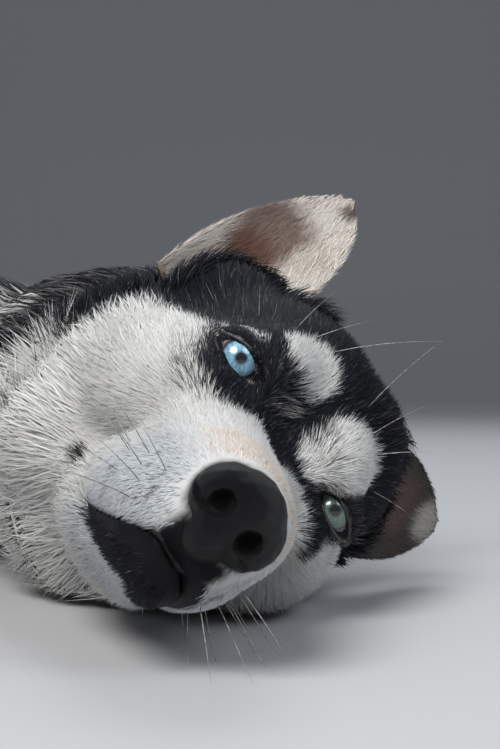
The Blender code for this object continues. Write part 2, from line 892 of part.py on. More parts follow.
def open_eyes(head):
    """Lids round each eyeball, and the socket behind them."""
    balls = [eye_ball("lid", side, EYE_RADIUS + LID_THICKNESS) for side in (-1, 1)]
    boolean(head, balls, "UNION")
    for side in (-1, 1):
        boolean(head, [eye_ball("socket", side, EYE_RADIUS + GAP / MM)], "DIFFERENCE")
        boolean(head, [fissure(side)], "DIFFERENCE")
    return head


def make_nose(head):
    """The nose leather: a broad pad with two comma-shaped nostrils and a groove below."""
    bm = bmesh.new()
    w = NOSE_HALF_WIDTH
    z = NOSE_HEIGHT
    add_ellipsoid(bm, (0, NOSE_FRONT - 10, z + 3), (w * 0.82, 10, 12.5), HEAD)
    add_ellipsoid(bm, (0, NOSE_FRONT - 9, z - 6), (w * 0.5, 7.5, 11), HEAD)
    for side in (-1, 1):
        add_ellipsoid(bm, (side * (w - 8.3), NOSE_FRONT - 10, z + 1), (8.3, 8.5, 10.5), HEAD)
    nose = fuse_and_smooth(make_object("nose", bm, "nose_skin"), 1.1 * MM, 3)
    thin_out(nose, NOSE_TRIANGLES)
    boolean(nose, [fattened(head, GAP)], "DIFFERENCE")
    for side in (-1, 1):
        hole = bmesh.new()
        stations = (
            (side * 6.2, NOSE_FRONT + 5, z - 1.0, 4.2, 4.6),
            (side * 7.2, NOSE_FRONT - 4, z - 0.5, 3.9, 4.3),
            (side * 7.4, NOSE_FRONT - 6, z - 0.5, 2.8, 3.2),
        )
        add_tube(hole, stations, HEAD, RIGHT, sides=10, steps=1)
        slit = bmesh.new()
        curl = (
            (side * 6.2, NOSE_FRONT - 2, z - 4, 1.6, 2.4),
            (side * 11.5, NOSE_FRONT - 3.5, z - 5.5, 1.3, 2.6),
            (side * (w + 1), NOSE_FRONT - 7.5, z - 3.5, 1.2, 3.0),
        )
        add_tube(slit, curl, HEAD, UP, sides=8, steps=1)
        boolean(nose, [make_object("hole", hole)], "DIFFERENCE")
        boolean(nose, [make_object("slit", slit)], "DIFFERENCE")
    groove = bmesh.new()
    stations = (
        (0, NOSE_FRONT + 1.5, z - 1, 0.7, 1.6),
        (0, NOSE_FRONT - 0.5, z - 8, 0.8, 1.8),
        (0, NOSE_FRONT - 4, z - 20, 0.9, 2.2),
    )
    add_tube(groove, stations, HEAD, RIGHT, sides=8, steps=1)
    return boolean(nose, [make_object("groove", groove)], "DIFFERENCE")


# Each ear: the inner and outer ends of its root, its tip, and which way its cup opens
EARS = {
    "right": ((30, -68, 40), (75, -76, 10), (55, -126, 91), (0.22, 0.80, 0.54)),
    "left": ((-30, -64, 40), (-66, -74, 4), (-88, -120, 48), (0.20, 0.62, 0.76)),
}


def ear_point(inner, outer, tip, opening, u, v, depth):
    """A point of the ear's cup: u from root to tip, v from -1 (inner edge) to 1 (outer edge)."""
    middle = (inner + outer) / 2
    spread = (1 - max(u, 0) ** 2.4) ** 0.9
    across = (outer - inner) / 2
    hollow = (1 - v * v) * across.length * (0.60 - 0.46 * u)
    belly = sin(pi * u) * 3.5
    line = middle.lerp(tip, u) + across * v * spread
    return line - opening * (hollow * spread + depth) + opening * belly * 0.4


def make_ear(name, root, head):
    """A cupped, tapering leaf, thick at its root, growing from the side of the skull."""
    inner, outer, tip, opening = (Vector(v) for v in root)
    opening.normalize()
    lengthwise, widthwise = 7, 6
    start = -0.16
    bm = bmesh.new()
    faces = []
    for depth in (0, 1):
        grid = []
        for i in range(lengthwise + 1):
            u = start + (0.965 - start) * i / lengthwise
            thickness = EAR_THICKNESS * (1.25 - 0.75 * u)
            row = []
            for j in range(widthwise + 1):
                v = -1 + 2 * j / widthwise
                edge = 0.35 + 0.65 * (1 - v * v)
                point = ear_point(inner, outer, tip, opening, u, v, depth * thickness * edge)
                row.append(bm.verts.new(HEAD @ point))
            grid.append(row)
        faces.append(grid)
    front, back = faces
    for i in range(lengthwise):
        for j in range(widthwise):
            for grid, flip in ((front, False), (back, True)):
                a, b = grid[i][j], grid[i][j + 1]
                c, d = grid[i + 1][j + 1], grid[i + 1][j]
                for corners in ((a, b, c), (a, c, d)):
                    bm.faces.new(corners[::-1] if flip else corners)
    rim = [(0, j) for j in range(widthwise)]
    rim += [(i, widthwise) for i in range(lengthwise)]
    rim += [(lengthwise, j) for j in range(widthwise, 0, -1)]
    rim += [(i, 0) for i in range(lengthwise, 0, -1)]
    for here, after in zip(rim, rim[1:] + rim[:1]):
        a, b = (front[i][j] for i, j in (here, after))
        d, c = (back[i][j] for i, j in (here, after))
        bm.faces.new((a, d, c))
        bm.faces.new((a, c, b))
    ear = make_object(name, bm, "white_coat")
    return boolean(ear, [fattened(head, GAP)], "DIFFERENCE")


# The whole dog


def rest_on_ground(pieces):
    """Flattens what presses on the ground, at one level."""
    for piece in pieces:
        lowest = min(v.co.z for v in piece.data.vertices)
        if lowest < 0:
            cut_by_plane(piece, Vector((0, 0, 0)), Vector((0, 0, -1)))


def centre_on_origin(pieces):
    """Moves the dog so that the middle of its bounding box stands over the origin."""
    points = [v.co for piece in pieces for v in piece.data.vertices]
    middle = [(min(p[i] for p in points) + max(p[i] for p in points)) / 2 for i in (0, 1)]
    for piece in pieces:
        piece.data.transform(Matrix.Translation((-middle[0], -middle[1], 0)))


def make_dog():
    head = make_head()
    jaw = make_jaw(head)
    nose = make_nose(head)
    ears = [make_ear(f"ear_{name}", EARS[name], head) for name in EARS]
    open_eyes(head)
    eyes = [eye_ball("eye_left", -1, EYE_RADIUS), eye_ball("eye_right", 1, EYE_RADIUS)]
    body = make_body()
    grow_coat(body)
    muzzle = part_muzzle(head)
    for name in PAWS:
        front, which = name.split("_")
        add_claws(name, body[f"{front}_paw_{which}"])
    pieces = [head, muzzle, jaw, nose, *ears, *eyes, *body.values()]
    for piece in pieces:
        keep_largest(piece)
    rest_on_ground(pieces)
    centre_on_origin(pieces)
    for piece in pieces:
        piece.data.shade_smooth()
        piece.data.set_sharp_from_angle(angle=radians(40))


make_dog()
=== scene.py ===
# An adult Siberian husky, life-size, lying on its left side with its head laid on the ground.
#
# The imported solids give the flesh, the eyes and the nose their places. Here the flesh gets its
# skins, and over them the coat grows in closed tufts of hair, which carry the dog's markings.

from math import cos, pi, radians, sin, sqrt, tau

import bmesh
import bpy
import numpy as np
from mathutils import Matrix, Vector
from mathutils.bvhtree import BVHTree


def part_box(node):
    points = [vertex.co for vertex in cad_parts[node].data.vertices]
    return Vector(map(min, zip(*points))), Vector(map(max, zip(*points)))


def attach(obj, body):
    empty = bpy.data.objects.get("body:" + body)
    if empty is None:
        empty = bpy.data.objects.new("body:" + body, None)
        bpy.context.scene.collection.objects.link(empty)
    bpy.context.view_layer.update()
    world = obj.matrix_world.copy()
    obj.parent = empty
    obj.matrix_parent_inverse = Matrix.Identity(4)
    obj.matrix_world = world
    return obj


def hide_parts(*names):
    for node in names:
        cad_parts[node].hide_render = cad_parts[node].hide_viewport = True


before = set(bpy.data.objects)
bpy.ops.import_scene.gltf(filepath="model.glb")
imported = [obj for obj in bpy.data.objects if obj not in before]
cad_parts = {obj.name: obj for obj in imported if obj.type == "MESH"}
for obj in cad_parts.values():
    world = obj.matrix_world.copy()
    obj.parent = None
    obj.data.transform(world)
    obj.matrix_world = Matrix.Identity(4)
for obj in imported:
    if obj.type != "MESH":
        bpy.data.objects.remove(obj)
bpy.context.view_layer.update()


# ---------------------------------------------------------------------------------------------
# The head's place. It is laid on its left cheek and turned a little. Its own frame has x to
# the dog's right, y towards the nose and z to its crown, in millimetres, from between the pupils.

MM = 0.001
EYE_RADIUS = 11.2
HALF_EYE_SPACING = 31.4
BALL_SET_BACK = {"right": Vector((1.8, 11.0, -0.56)), "left": Vector((2.35, 11.0, -0.56))}
SIDES = {"right": 1, "left": -1}
HEAD_HEADING = pi + radians(7.3)
HEAD_NOD = radians(-1.8)
HEAD_ROLL = radians(-58)


def middle_of(name):
    """The middle of a solid of the frame."""
    low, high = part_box(name)
    return (low + high) / 2


head_turn = (
    Matrix.Rotation(HEAD_HEADING, 4, "Z")
    @ Matrix.Rotation(HEAD_NOD, 4, "X")
    @ Matrix.Rotation(HEAD_ROLL, 4, "Y")
    @ Matrix.Scale(MM, 4)
)
ball_centre = {
    name: Vector((side * HALF_EYE_SPACING, 0, 0)) - BALL_SET_BACK[name]
    for name, side in SIDES.items()
}
eyes_middle = middle_of("eye_right") - head_turn @ ball_centre["right"]
HEAD = Matrix.Translation(eyes_middle) @ head_turn
TO_HEAD = np.array(HEAD.inverted())
# Turns rows of directions in the head's frame into directions in the room
OUT_OF_HEAD = np.array(head_turn.to_3x3()).T


def in_head(points):
    """Rows of points of the room, in the head's own frame."""
    return points @ TO_HEAD[:3, :3].T + TO_HEAD[:3, 3]


# ---------------------------------------------------------------------------------------------
# The camera lies almost on the ground, half a metre in front of the eyes, and looks level.
# Its lens keeps the framing of the photograph.

CAMERA_FROM_EYES = Vector((-11.7, -506.8, 20.6)) * MM
PHOTO_HEIGHT = 749
FOCAL_PIXELS = 1456
SENSOR = 36.0
NEAREST_SHOWN = 0.02


def put(name, data):
    """A new object of the scene with that data."""
    made = bpy.data.objects.new(name, data)
    bpy.context.scene.collection.objects.link(made)
    return made


lens = bpy.data.cameras.new("camera")
lens.sensor_fit = "VERTICAL"
lens.sensor_height = SENSOR
lens.lens = FOCAL_PIXELS * SENSOR / PHOTO_HEIGHT
lens.clip_start = NEAREST_SHOWN
camera = put("camera", lens)
camera.location = HEAD.translation + CAMERA_FROM_EYES
camera.rotation_euler = (pi / 2, 0, 0)
bpy.context.scene.camera = camera


# ---------------------------------------------------------------------------------------------
# The studio: a pale floor that sweeps up into a pale wall far behind, a large soft lamp above and
# to the left of the head, a weak one on the right and one behind, and even light all round.

FLOOR_COLOUR = (0.46, 0.46, 0.47)
FLOOR_HALF_WIDTH = 6
# The floor's section from front to back: distance and height
SWEEP = ((-5.0, 0), (4.0, 0), (4.8, 0.08), (5.5, 0.32), (6.0, 0.75), (6.3, 1.4), (6.4, 3.5))
ROOM_COLOUR = (0.62, 0.66, 0.72)
ROOM_STRENGTH = 0.33
# Name, place from the head, width, power and colour
LAMPS = (
    ("key", (-0.5, -1.25, 1.25), 0.9, 36, (1.0, 0.99, 0.97)),
    ("fill", (1.2, -1.1, 1.3), 1.0, 14, (0.88, 0.94, 1.0)),
    ("back", (0.2, 1.3, 1.5), 1.2, 14, (0.9, 0.95, 1.0)),
)


def set_sockets(node, values):
    """Sets constants on a node's own sockets."""
    for socket, value in values.items():
        node.inputs[socket].default_value = value


def new_material(name, values):
    """A material with its node tree and its shader, whose constants are given."""
    made = bpy.data.materials.new(name)
    made.use_nodes = True
    shader = made.node_tree.nodes["Principled BSDF"]
    set_sockets(shader, values)
    return made, made.node_tree, shader


floor_mesh = bpy.data.meshes.new("floor")
floor_mesh.from_pydata(
    [(x, y, z) for y, z in SWEEP for x in (-FLOOR_HALF_WIDTH, FLOOR_HALF_WIDTH)],
    [],
    [(2 * k, 2 * k + 1, 2 * k + 3, 2 * k + 2) for k in range(len(SWEEP) - 1)],
)
floor_mesh.shade_smooth()
floor = put("floor", floor_mesh)
floor_paint = new_material("floor", {"Base Color": (*FLOOR_COLOUR, 1), "Roughness": 0.9})[0]
floor_mesh.materials.append(floor_paint)

for lamp_name, place, size, power, colour in LAMPS:
    lamp = bpy.data.lights.new(lamp_name, "AREA")
    lamp.shape = "DISK"
    lamp.size = size
    lamp.energy = power
    lamp.color = colour
    holder = put(lamp_name, lamp)
    holder.location = HEAD.translation + Vector(place)
    holder.rotation_euler = (-Vector(place)).to_track_quat("-Z", "Y").to_euler()

room = bpy.data.worlds.new("room")
room.use_nodes = True
daylight = {"Color": (*ROOM_COLOUR, 1), "Strength": ROOM_STRENGTH}
set_sockets(room.node_tree.nodes["Background"], daylight)
bpy.context.scene.world = room
bpy.context.scene.view_settings.view_transform = "Standard"


# ---------------------------------------------------------------------------------------------
# The flesh under the coat, in five skins: skull and muzzle, lower jaw, body, legs and paws.
# Each is one closed surface round its solids, drawn in by the depth of the coat, and sunk
# further where it runs on under the next one.

FLESH_GROWTH = 0.25 * MM
FACE_GRAIN = 1.75 * MM
LIMB_GRAIN = 3.5 * MM
BODY_GRAIN = 5.0 * MM
LEAST_HEIGHT = 0.4 * MM
TAIL = ("tail", "tail_end")
TORSO = ("neck", "chest", "loin", "thigh_right", "thigh_left") + TAIL
LEGS = ("forearm_right", "forearm_left", "shank_right", "shank_left")
PAWS = ("front_paw_right", "front_paw_left", "hind_paw_right", "hind_paw_left")
# For each part of the body: the parts that its hair runs from and to, the hair's length and how
# deep the coat is, in millimetres.
LIE = {
    "neck": ("head", "chest", 44, 8),
    "chest": ("neck", "loin", 44, 12),
    "loin": ("chest", "tail", 40, 11),
    "tail": ("loin", "tail_end", 52, 15),
    "tail_end": ("tail", "tail_end", 55, 16),
    "thigh_right": ("loin", "shank_right", 34, 9),
    "thigh_left": ("loin", "shank_left", 30, 7),
}
for side in SIDES:
    LIE[f"forearm_{side}"] = ("chest", f"front_paw_{side}", 18, 4.5)
    LIE[f"shank_{side}"] = (f"thigh_{side}", f"hind_paw_{side}", 15, 4)
    LIE[f"front_paw_{side}"] = (f"forearm_{side}", f"front_paw_{side}", 9, 2.5)
    LIE[f"hind_paw_{side}"] = (f"shank_{side}", f"hind_paw_{side}", 9, 2.5)
# The head's hair runs back from a place before the nose, a little flattened and downwards
HAIR_SOURCE = (0, 112, -40)
HAIR_FAN = (1, 1, 0.9)
HAIR_FALL = (0, 0, -3)
LIP_HANG = Vector((0, 0, -1.3 / MM))
# Hair of the head at places of its right half (x, y, z): its length and the coat's depth there
FACE_HAIR = (
    (0, 95, -20, 3.0, 0.7), (9, 80, -18, 4.5, 1.2), (21, 70, -36, 5.0, 1.4),
    (17, 62, -56, 4.5, 1.2), (28, 22, -38, 7.5, 2.2), (0, 34, -10, 5.5, 1.5),
    (0, 0, 4, 6.5, 2.0), (16, -8, 22, 9.5, 3.4), (0, -40, 44, 12, 4.2),
    (0, -90, 50, 18, 6.0), (40, -40, 22, 12, 4.2), (44, -12, -6, 12, 3.6),
    (40, 8, -24, 9.5, 2.8), (31, 2, -10, 5.0, 1.2), (56, -30, -30, 18, 5.5),
    (66, -60, -42, 28, 8.5), (68, -92, -72, 36, 11), (52, -66, 32, 16, 4.5),
    (30, -16, -72, 16, 5.0), (30, -70, -96, 34, 10), (0, 66, -68, 4.0, 1.2),
    (22, 10, -74, 10, 3.0), (0, -60, -92, 26, 8.0), (70, -90, 0, 22, 7.0),
    (0, -122, 40, 30, 9.0),
)
# How the hair of one place passes into the next, and how it shortens towards the bare lids
PLACE_SIZE = 3
PLACE_FALLOFF = 3.5
BARE_RIM = 1.6
SHORT_RIM = 16.0
LEAST_SHARE = 0.06
RIM_CURVE = 0.7
# How deep a skin is sunk under the next one, and the slope there: its middle, measured from the
# next one's solids, and its width
UNDER_FACE, UNDER_LEGS, TORSO_SLOPE = 14.0, 6.0, (12, 18)
UNDER_PAWS, LEG_SLOPE = 2.5, (6, 10)
NAPE_DEPTH, NAPE_SLOPE = 4.0, (14, 30)
JAW_SLOPE = 9
JAW_DEPTH = 1.1 * MM


def joined_flesh(name, parts, grain, rounds, extra=None):
    """One closed surface round solids of the frame, each grown so that it meets its neighbours."""
    whole = bmesh.new()
    for part in parts:
        bm = bmesh.new()
        bm.from_mesh(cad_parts[part].data)
        bmesh.ops.remove_doubles(bm, verts=bm.verts, dist=1e-6)
        bm.normal_update()
        for vertex, move in [(v, v.normal * FLESH_GROWTH) for v in bm.verts]:
            vertex.co += move
        piece = bpy.data.meshes.new("part")
        bm.to_mesh(piece)
        bm.free()
        whole.from_mesh(piece)
        bpy.data.meshes.remove(piece)
    if extra:
        extra(whole)
    mesh = bpy.data.meshes.new(name)
    whole.to_mesh(mesh)
    whole.free()
    made = put(name, mesh)
    remesh = made.modifiers.new("skin", "REMESH")
    remesh.mode = "VOXEL"
    remesh.voxel_size = grain
    smooth = made.modifiers.new("smooth", "SMOOTH")
    smooth.factor = 0.5
    smooth.iterations = rounds
    graph = bpy.context.evaluated_depsgraph_get()
    mesh = bpy.data.meshes.new_from_object(made.evaluated_get(graph))
    bpy.data.objects.remove(made)
    return mesh


def fill_sockets(bm):
    """Fills each eye socket to just under the eyeball."""
    for centre in ball_centre.values():
        shape = Matrix.Translation(centre) @ Matrix.Scale(EYE_RADIUS - 0.5, 4)
        bmesh.ops.create_uvsphere(
            bm, u_segments=24, v_segments=16, radius=1, matrix=HEAD @ shape,
        )


def arrays_of(mesh):
    """Points, normals, edges and triangles of a mesh as arrays."""
    mesh.calc_loop_triangles()

    def column(items, field, wide, kind):
        values = np.empty(len(items) * wide, kind)
        items.foreach_get(field, values)
        return values.reshape(-1, wide)

    return (
        column(mesh.vertices, "co", 3, np.float32).astype(float),
        column(mesh.vertex_normals, "vector", 3, np.float32).astype(float),
        column(mesh.edges, "vertices", 2, np.int32),
        column(mesh.loop_triangles, "vertices", 3, np.int32),
    )


def evened(values, edges, rounds):
    """Values at the points of a surface, each drawn rounds times to the mean of its neighbours."""
    values = np.array(values, float)
    flat = values.reshape(len(values), -1)
    near = np.bincount(edges.ravel(), minlength=len(flat))[:, None]
    for _ in range(rounds):
        total = np.empty_like(flat)
        for k in range(flat.shape[1]):
            total[:, k] = np.bincount(edges[:, 0], flat[edges[:, 1], k], len(flat))
            total[:, k] += np.bincount(edges[:, 1], flat[edges[:, 0], k], len(flat))
        flat = 0.5 * flat + 0.5 * total / np.maximum(near, 1)
    return flat.reshape(values.shape)


def unit(rows):
    return rows / np.maximum(np.linalg.norm(rows, axis=-1, keepdims=True), 1e-9)


def soft(distance, width):
    """0 to 1 over a soft edge of that width."""
    t = np.clip(distance / width + 0.5, 0, 1)
    return t * t * (3 - 2 * t)


def to_right_half(at_head):
    """Rows of points in the head's frame, those of the left half mirrored."""
    mirrored = at_head.copy()
    mirrored[:, 0] = np.abs(mirrored[:, 0])
    return mirrored


def face_hair(at_head):
    """Length and depth of the head's hair at rows of points in the head's frame."""
    places = np.array(FACE_HAIR, float)
    away = to_right_half(at_head)[:, None, :] - places[None, :, :3]
    weight = 1 / (np.linalg.norm(away, axis=2) + PLACE_SIZE) ** PLACE_FALLOFF
    found = (weight[:, :, None] * places[None, :, 3:]).sum(1) / weight.sum(1)[:, None]
    for centre in ball_centre.values():
        from_ball = np.linalg.norm(at_head - np.array(centre), axis=1) - EYE_RADIUS
        free = np.clip((from_ball - BARE_RIM) / (SHORT_RIM - BARE_RIM), LEAST_SHARE, 1)
        found *= (free ** RIM_CURVE)[:, None]
    return found


def nearest_solid(points, names):
    """Each point's nearest one of some solids of the frame: its name and the distance to it."""
    places, faces, owner = [], [], []
    for name in names:
        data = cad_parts[name].data
        faces += [[len(places) + i for i in p.vertices] for p in data.polygons]
        places += [v.co for v in data.vertices]
        owner += [name] * len(data.polygons)
    tree = BVHTree.FromPolygons(places, faces)
    found = [tree.find_nearest(p)[2:] for p in points.tolist()]
    return np.array([owner[face] for face, _ in found]), np.array([away for _, away in found])


def distance_to(points, *names):
    """How far each point lies from the nearest of some solids of the frame, in millimetres."""
    return nearest_solid(points, names)[1] / MM


class Skin:
    """A skin with what its coat needs: lie, length and depth at each point, and its surface."""

    def __init__(self, parts, grain, smoothing, rounds, extra=None):
        mesh = joined_flesh(parts[0], parts, grain, smoothing, extra)
        self.points, self.normals, self.edges, self.corners = arrays_of(mesh)
        self.names = nearest_solid(self.points, parts)[0]
        at_head = in_head(self.points)
        face = face_hair(at_head)
        from_source = (at_head - HAIR_SOURCE) * HAIR_FAN + HAIR_FALL
        lie = unit(unit(from_source) @ OUT_OF_HEAD)
        length, depth = face[:, 0].copy(), face[:, 1].copy()
        for part in parts:
            if part in LIE:
                source, target, hair, coat = LIE[part]
                here = self.names == part
                start = middle_of(source) if source != target else middle_of("loin")
                lie[here] = unit(np.array([middle_of(target) - start]))
                length[here] = hair
                depth[here] = coat
        if "muzzle" in parts:
            hang = soft(-38 - at_head[:, 2], 16) * soft(at_head[:, 1] - 20, 20)
            lie += np.outer(hang, np.array(head_turn.to_3x3() @ LIP_HANG))
        self.lie = evened(lie, self.edges, rounds)
        self.length = evened(length, self.edges, rounds) * MM
        self.depth = evened(depth + self.sunk(parts, depth), self.edges, rounds) * MM

    def sunk(self, parts, depth):
        """How much deeper each point lies for being covered by another skin."""
        more = np.zeros(len(depth))
        if "neck" in parts:
            covered = np.isin(self.names, ("head",) + LEGS + PAWS)
            beyond = distance_to(self.points[covered], *TORSO) - TORSO_SLOPE[0]
            under = np.where(self.names[covered] == "head", UNDER_FACE, UNDER_LEGS)
            more[covered] = under * soft(beyond, TORSO_SLOPE[1])
        elif "forearm_right" in parts:
            covered = np.isin(self.names, PAWS)
            beyond = distance_to(self.points[covered], *LEGS) - LEG_SLOPE[0]
            more[covered] = UNDER_PAWS * soft(beyond, LEG_SLOPE[1])
        elif "muzzle" in parts:
            near_neck = NAPE_SLOPE[0] - distance_to(self.points, "neck")
            deeper = depth + NAPE_DEPTH * soft(near_neck, NAPE_SLOPE[1])
            at_jaw = np.clip(distance_to(self.points, "lower_jaw") / JAW_SLOPE, 0.2, 1)
            more = deeper * at_jaw - depth
        return more

    def draw_in(self, share):
        """Moves the skin inside the solids by a share of the coat's depth."""
        inward = evened(self.normals, self.edges, 12)
        self.points = self.points - unit(inward) * (self.depth * share)[:, None]
        self.points[:, 2] = np.maximum(self.points[:, 2], LEAST_HEIGHT)
        self.points = evened(self.points, self.edges, 1)
        a, b, c = (self.points[self.corners[:, k]] for k in range(3))
        facing = np.cross(b - a, c - a)
        total = np.zeros_like(self.points)
        for k in range(3):
            for axis in range(3):
                total[:, axis] += np.bincount(
                    self.corners[:, k], facing[:, axis], len(self.points),
                )
        self.normals = unit(total)
        self.area = np.linalg.norm(facing, axis=1) / 2
        self.tree = BVHTree.FromPolygons(self.points.tolist(), self.corners.tolist())
        self.face_normals = unit(self.normals[self.corners].sum(1))
        return self


skull = Skin(("head", "muzzle"), FACE_GRAIN, 3, 16, fill_sockets).draw_in(0.85)
jaw = Skin(("lower_jaw",), FACE_GRAIN, 2, 4)
jaw.depth = np.minimum(jaw.depth, JAW_DEPTH)
jaw.draw_in(0.85)
trunk = Skin(TORSO[:5] + LEGS + PAWS + TAIL + ("head",), BODY_GRAIN, 20, 14).draw_in(0.75)
limbs = Skin(LEGS + PAWS, LIMB_GRAIN, 2, 8).draw_in(0.85)
paws = Skin(PAWS, FACE_GRAIN, 2, 4).draw_in(0.85)
# The head's hair that reaches past its own skin lies on over the neck
skull.tree = BVHTree.FromPolygons(
    np.concatenate([skull.points, trunk.points]).tolist(),
    np.concatenate([skull.corners, trunk.corners + len(skull.points)]).tolist(),
)
skull.face_normals = np.concatenate([skull.face_normals, trunk.face_normals])


# ---------------------------------------------------------------------------------------------
# The markings, painted alike on skin and hair. The head's lie on an unrolled skin: degrees
# round the head from the crown, positive to the right, and millimetres towards the nose.

WHITE = np.array((0.72, 0.72, 0.71))
CREAM = np.array((0.66, 0.58, 0.49))
BLACK = np.array((0.0045, 0.0045, 0.006))
SLATE = np.array((0.012, 0.014, 0.019))
GREY = np.array((0.18, 0.17, 0.17))
# The line that the skin is unrolled round: its height at the eyes, and how it falls to the nose
AXIS_HEIGHT = -25.0
AXIS_FALL = 0.12
DEGREE = 0.8

# The cap is alike on both sides behind the eyes, and not round them
CAP_SIDE = (
    (61, -19), (69, -18), (75, -33), (79, -50), (87, -54), (96, -52), (103, -56), (109, -64),
    (114, -80), (121, -92), (127, -104), (126, -260),
)
DARK_CAP = (
    (0, 37), (8, 28), (14, 22), (25, 15), (40, 18), (52, 21), (62, 20), (69, 15), (73, 8),
    (71, 0), (67, -7), (63, -13), *CAP_SIDE, *[(-turn, along) for turn, along in CAP_SIDE[::-1]],
    (-62, -10), (-68, -2), (-76, 4), (-79, 9), (-76, 13), (-66, 14), (-52, 10), (-44, 9),
    (-30, 15), (-20, 24), (-12, 34), (-5, 38),
)
RIGHT_BROW = (
    (33, -3), (30, -7), (21, -19), (12, -20), (5, -15), (2, -10), (3, -6), (10, -1), (20, 3),
    (29, 3),
)
LEFT_BROW = (
    (-10, -3), (-13, -8), (-19, -16), (-25, -21), (-34, -22), (-42, -18), (-42, 3), (-34, 6),
    (-22, 5), (-14, 1),
)
LID_STREAK = ((54, -24), (46, -8), (38, -1), (42, -2), (50, -9), (57, -20))
GRIZZLE = ((58, 22), (72, 21), (84, 15), (87, 6), (80, -3), (70, -7), (62, -2), (58, 10))
NAPE_PATCH = ((97, -116), (106, -108), (116, -112), (118, -128), (110, -146), (98, -140))
# White patches in the cap: outline, how white, and the width of its edge
PALE_PATCHES = (
    (RIGHT_BROW, 1, 5), (LEFT_BROW, 1, 5), (LID_STREAK, 0.7, 3), (NAPE_PATCH, 0.5, 12),
)
# The dark back reaches this share of a part's half width down from its middle
SADDLE = {
    "neck": 0.55, "chest": 0.10, "loin": 0.05, "thigh_right": 0.05, "tail": 0.1, "tail_end": 0.2,
}
SADDLE_EDGE = 0.7
# How far behind the pupils the head's markings pass into the body's, and over what length
NAPE = -150
NAPE_BLEND = 80
BODY_TURN = radians(52)

body_forward = Vector((sin(BODY_TURN), -cos(BODY_TURN), 0))
body_up = Vector((cos(BODY_TURN), sin(BODY_TURN), 0))


def unrolled(at_head):
    """Rows of (degrees round the head, millimetres along it), in even units."""
    height = at_head[:, 2] - AXIS_HEIGHT + AXIS_FALL * np.maximum(at_head[:, 1], 0)
    degrees = np.degrees(np.arctan2(at_head[:, 0], height))
    return np.stack([degrees * DEGREE, at_head[:, 1]], 1)


def inside_by(places, outline):
    """How far each place lies inside an outline, in millimetres, negative outside."""
    corners = np.array(outline, float) * (DEGREE, 1)
    nearest = np.full(len(places), 1e9)
    within = np.zeros(len(places), bool)
    for a, b in zip(corners, np.roll(corners, -1, 0)):
        along = b - a
        share = np.clip(((places - a) @ along) / (along @ along), 0, 1)
        away = np.linalg.norm(places - a - share[:, None] * along, axis=1)
        nearest = np.minimum(nearest, away)
        crosses = (a[1] > places[:, 1]) != (b[1] > places[:, 1])
        level = a[0] + (places[:, 1] - a[1]) * along[0] / (along[1] if along[1] else 1e-9)
        within ^= crosses & (places[:, 0] < level)
    return np.where(within, nearest, -nearest)


def head_darkness(at_head):
    """How dark the head's coat is, 0 to 1."""
    places = unrolled(at_head)
    dark = soft(inside_by(places, DARK_CAP), 10)
    for outline, share, edge in PALE_PATCHES[:2]:
        dark *= 1 - share * soft(inside_by(places, outline), edge)
    dark = np.maximum(dark, 0.5 * soft(inside_by(places, GRIZZLE), 14))
    for outline, share, edge in PALE_PATCHES[2:]:
        dark *= 1 - share * soft(inside_by(places, outline), edge)
    return dark


def body_darkness(points, names):
    """How dark the body's coat is: a dark back, paler down the flank, white below."""
    dark = np.zeros(len(points))
    for name, reach in SADDLE.items():
        here = names == name
        low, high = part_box("loin" if "thigh" in name else name)
        across = (points[here] - np.array((low + high) / 2)) @ np.array(body_up)
        half = abs((high - low).dot(body_up)) / 2
        dark[here] = soft(across / half + reach, SADDLE_EDGE)
    return dark


def coat_darkness(skin):
    """The markings at the points of a skin."""
    at_head = in_head(skin.points)
    dark = head_darkness(at_head)
    on_body = ~np.isin(skin.names, ("head", "muzzle"))
    blend = np.clip((NAPE - at_head[:, 1]) / NAPE_BLEND, 0, 1)
    other = body_darkness(skin.points, skin.names)
    return np.where(on_body, dark * (1 - blend) + other * blend, dark)


# ---------------------------------------------------------------------------------------------
# The skin itself: pale under white hair and dark under black, and black and moist at the lips
# and round the nose. Painted shade widens the black on the left and under the nose, and darkens
# the chin. It is finely wrinkled and closes round the flesh.

LIP_START = 28
LIP_WIDENS = (20, 60)
LIP_WIDTH = 5.5
# Width of the upper lip's black on both sides, and the painted shade that widens it left of the
# given x
RIGHT_LIP, LEFT_LIP_SHADE = 0.6, 6
LEFT_SHADE_FROM = -6
# How far the painted shade on the chin reaches from the lip, in millimetres
CHIN_SHADE = 15
MOUTH_CORNER = (27.5, -24, -63)
CORNER_SHAPE = (1.2, 0.8, 1)
SKIN_TONE = 0.75
SKIN_BLACK = 1.5
LIP_BLACK = 0.9
# The bake map of the head, in millimetres along it: where it starts and how long it is
MAP_START, MAP_LENGTH = 300, 420
# Noise turns into a colour between two others, and into fine bumps
MOTTLE_INPUTS = (
    ("Scale", "Float"), ("Detail", "Float"), ("Low", "Float"), ("High", "Float"),
    ("Dark", "Color"), ("Light", "Color"), ("Strength", "Float"), ("Depth", "Float"),
)
# The Mix node's sockets for colours share their names with others, so they go by number
MIX_SHARE, MIX_FIRST, MIX_SECOND, MIX_RESULT = 0, 6, 7, 2


def add_node(tree, kind, sockets=None, **settings):
    """A shader node with its settings and the constants of its sockets."""
    made = tree.nodes.new("ShaderNode" + kind)
    for field, value in settings.items():
        setattr(made, field, value)
    set_sockets(made, sockets or {})
    return made


def wire(tree, *runs):
    """Joins nodes: in each run a node and its output, then a node and its input."""
    for source, output, target, socket in runs:
        tree.links.new(source.outputs[output], target.inputs[socket])


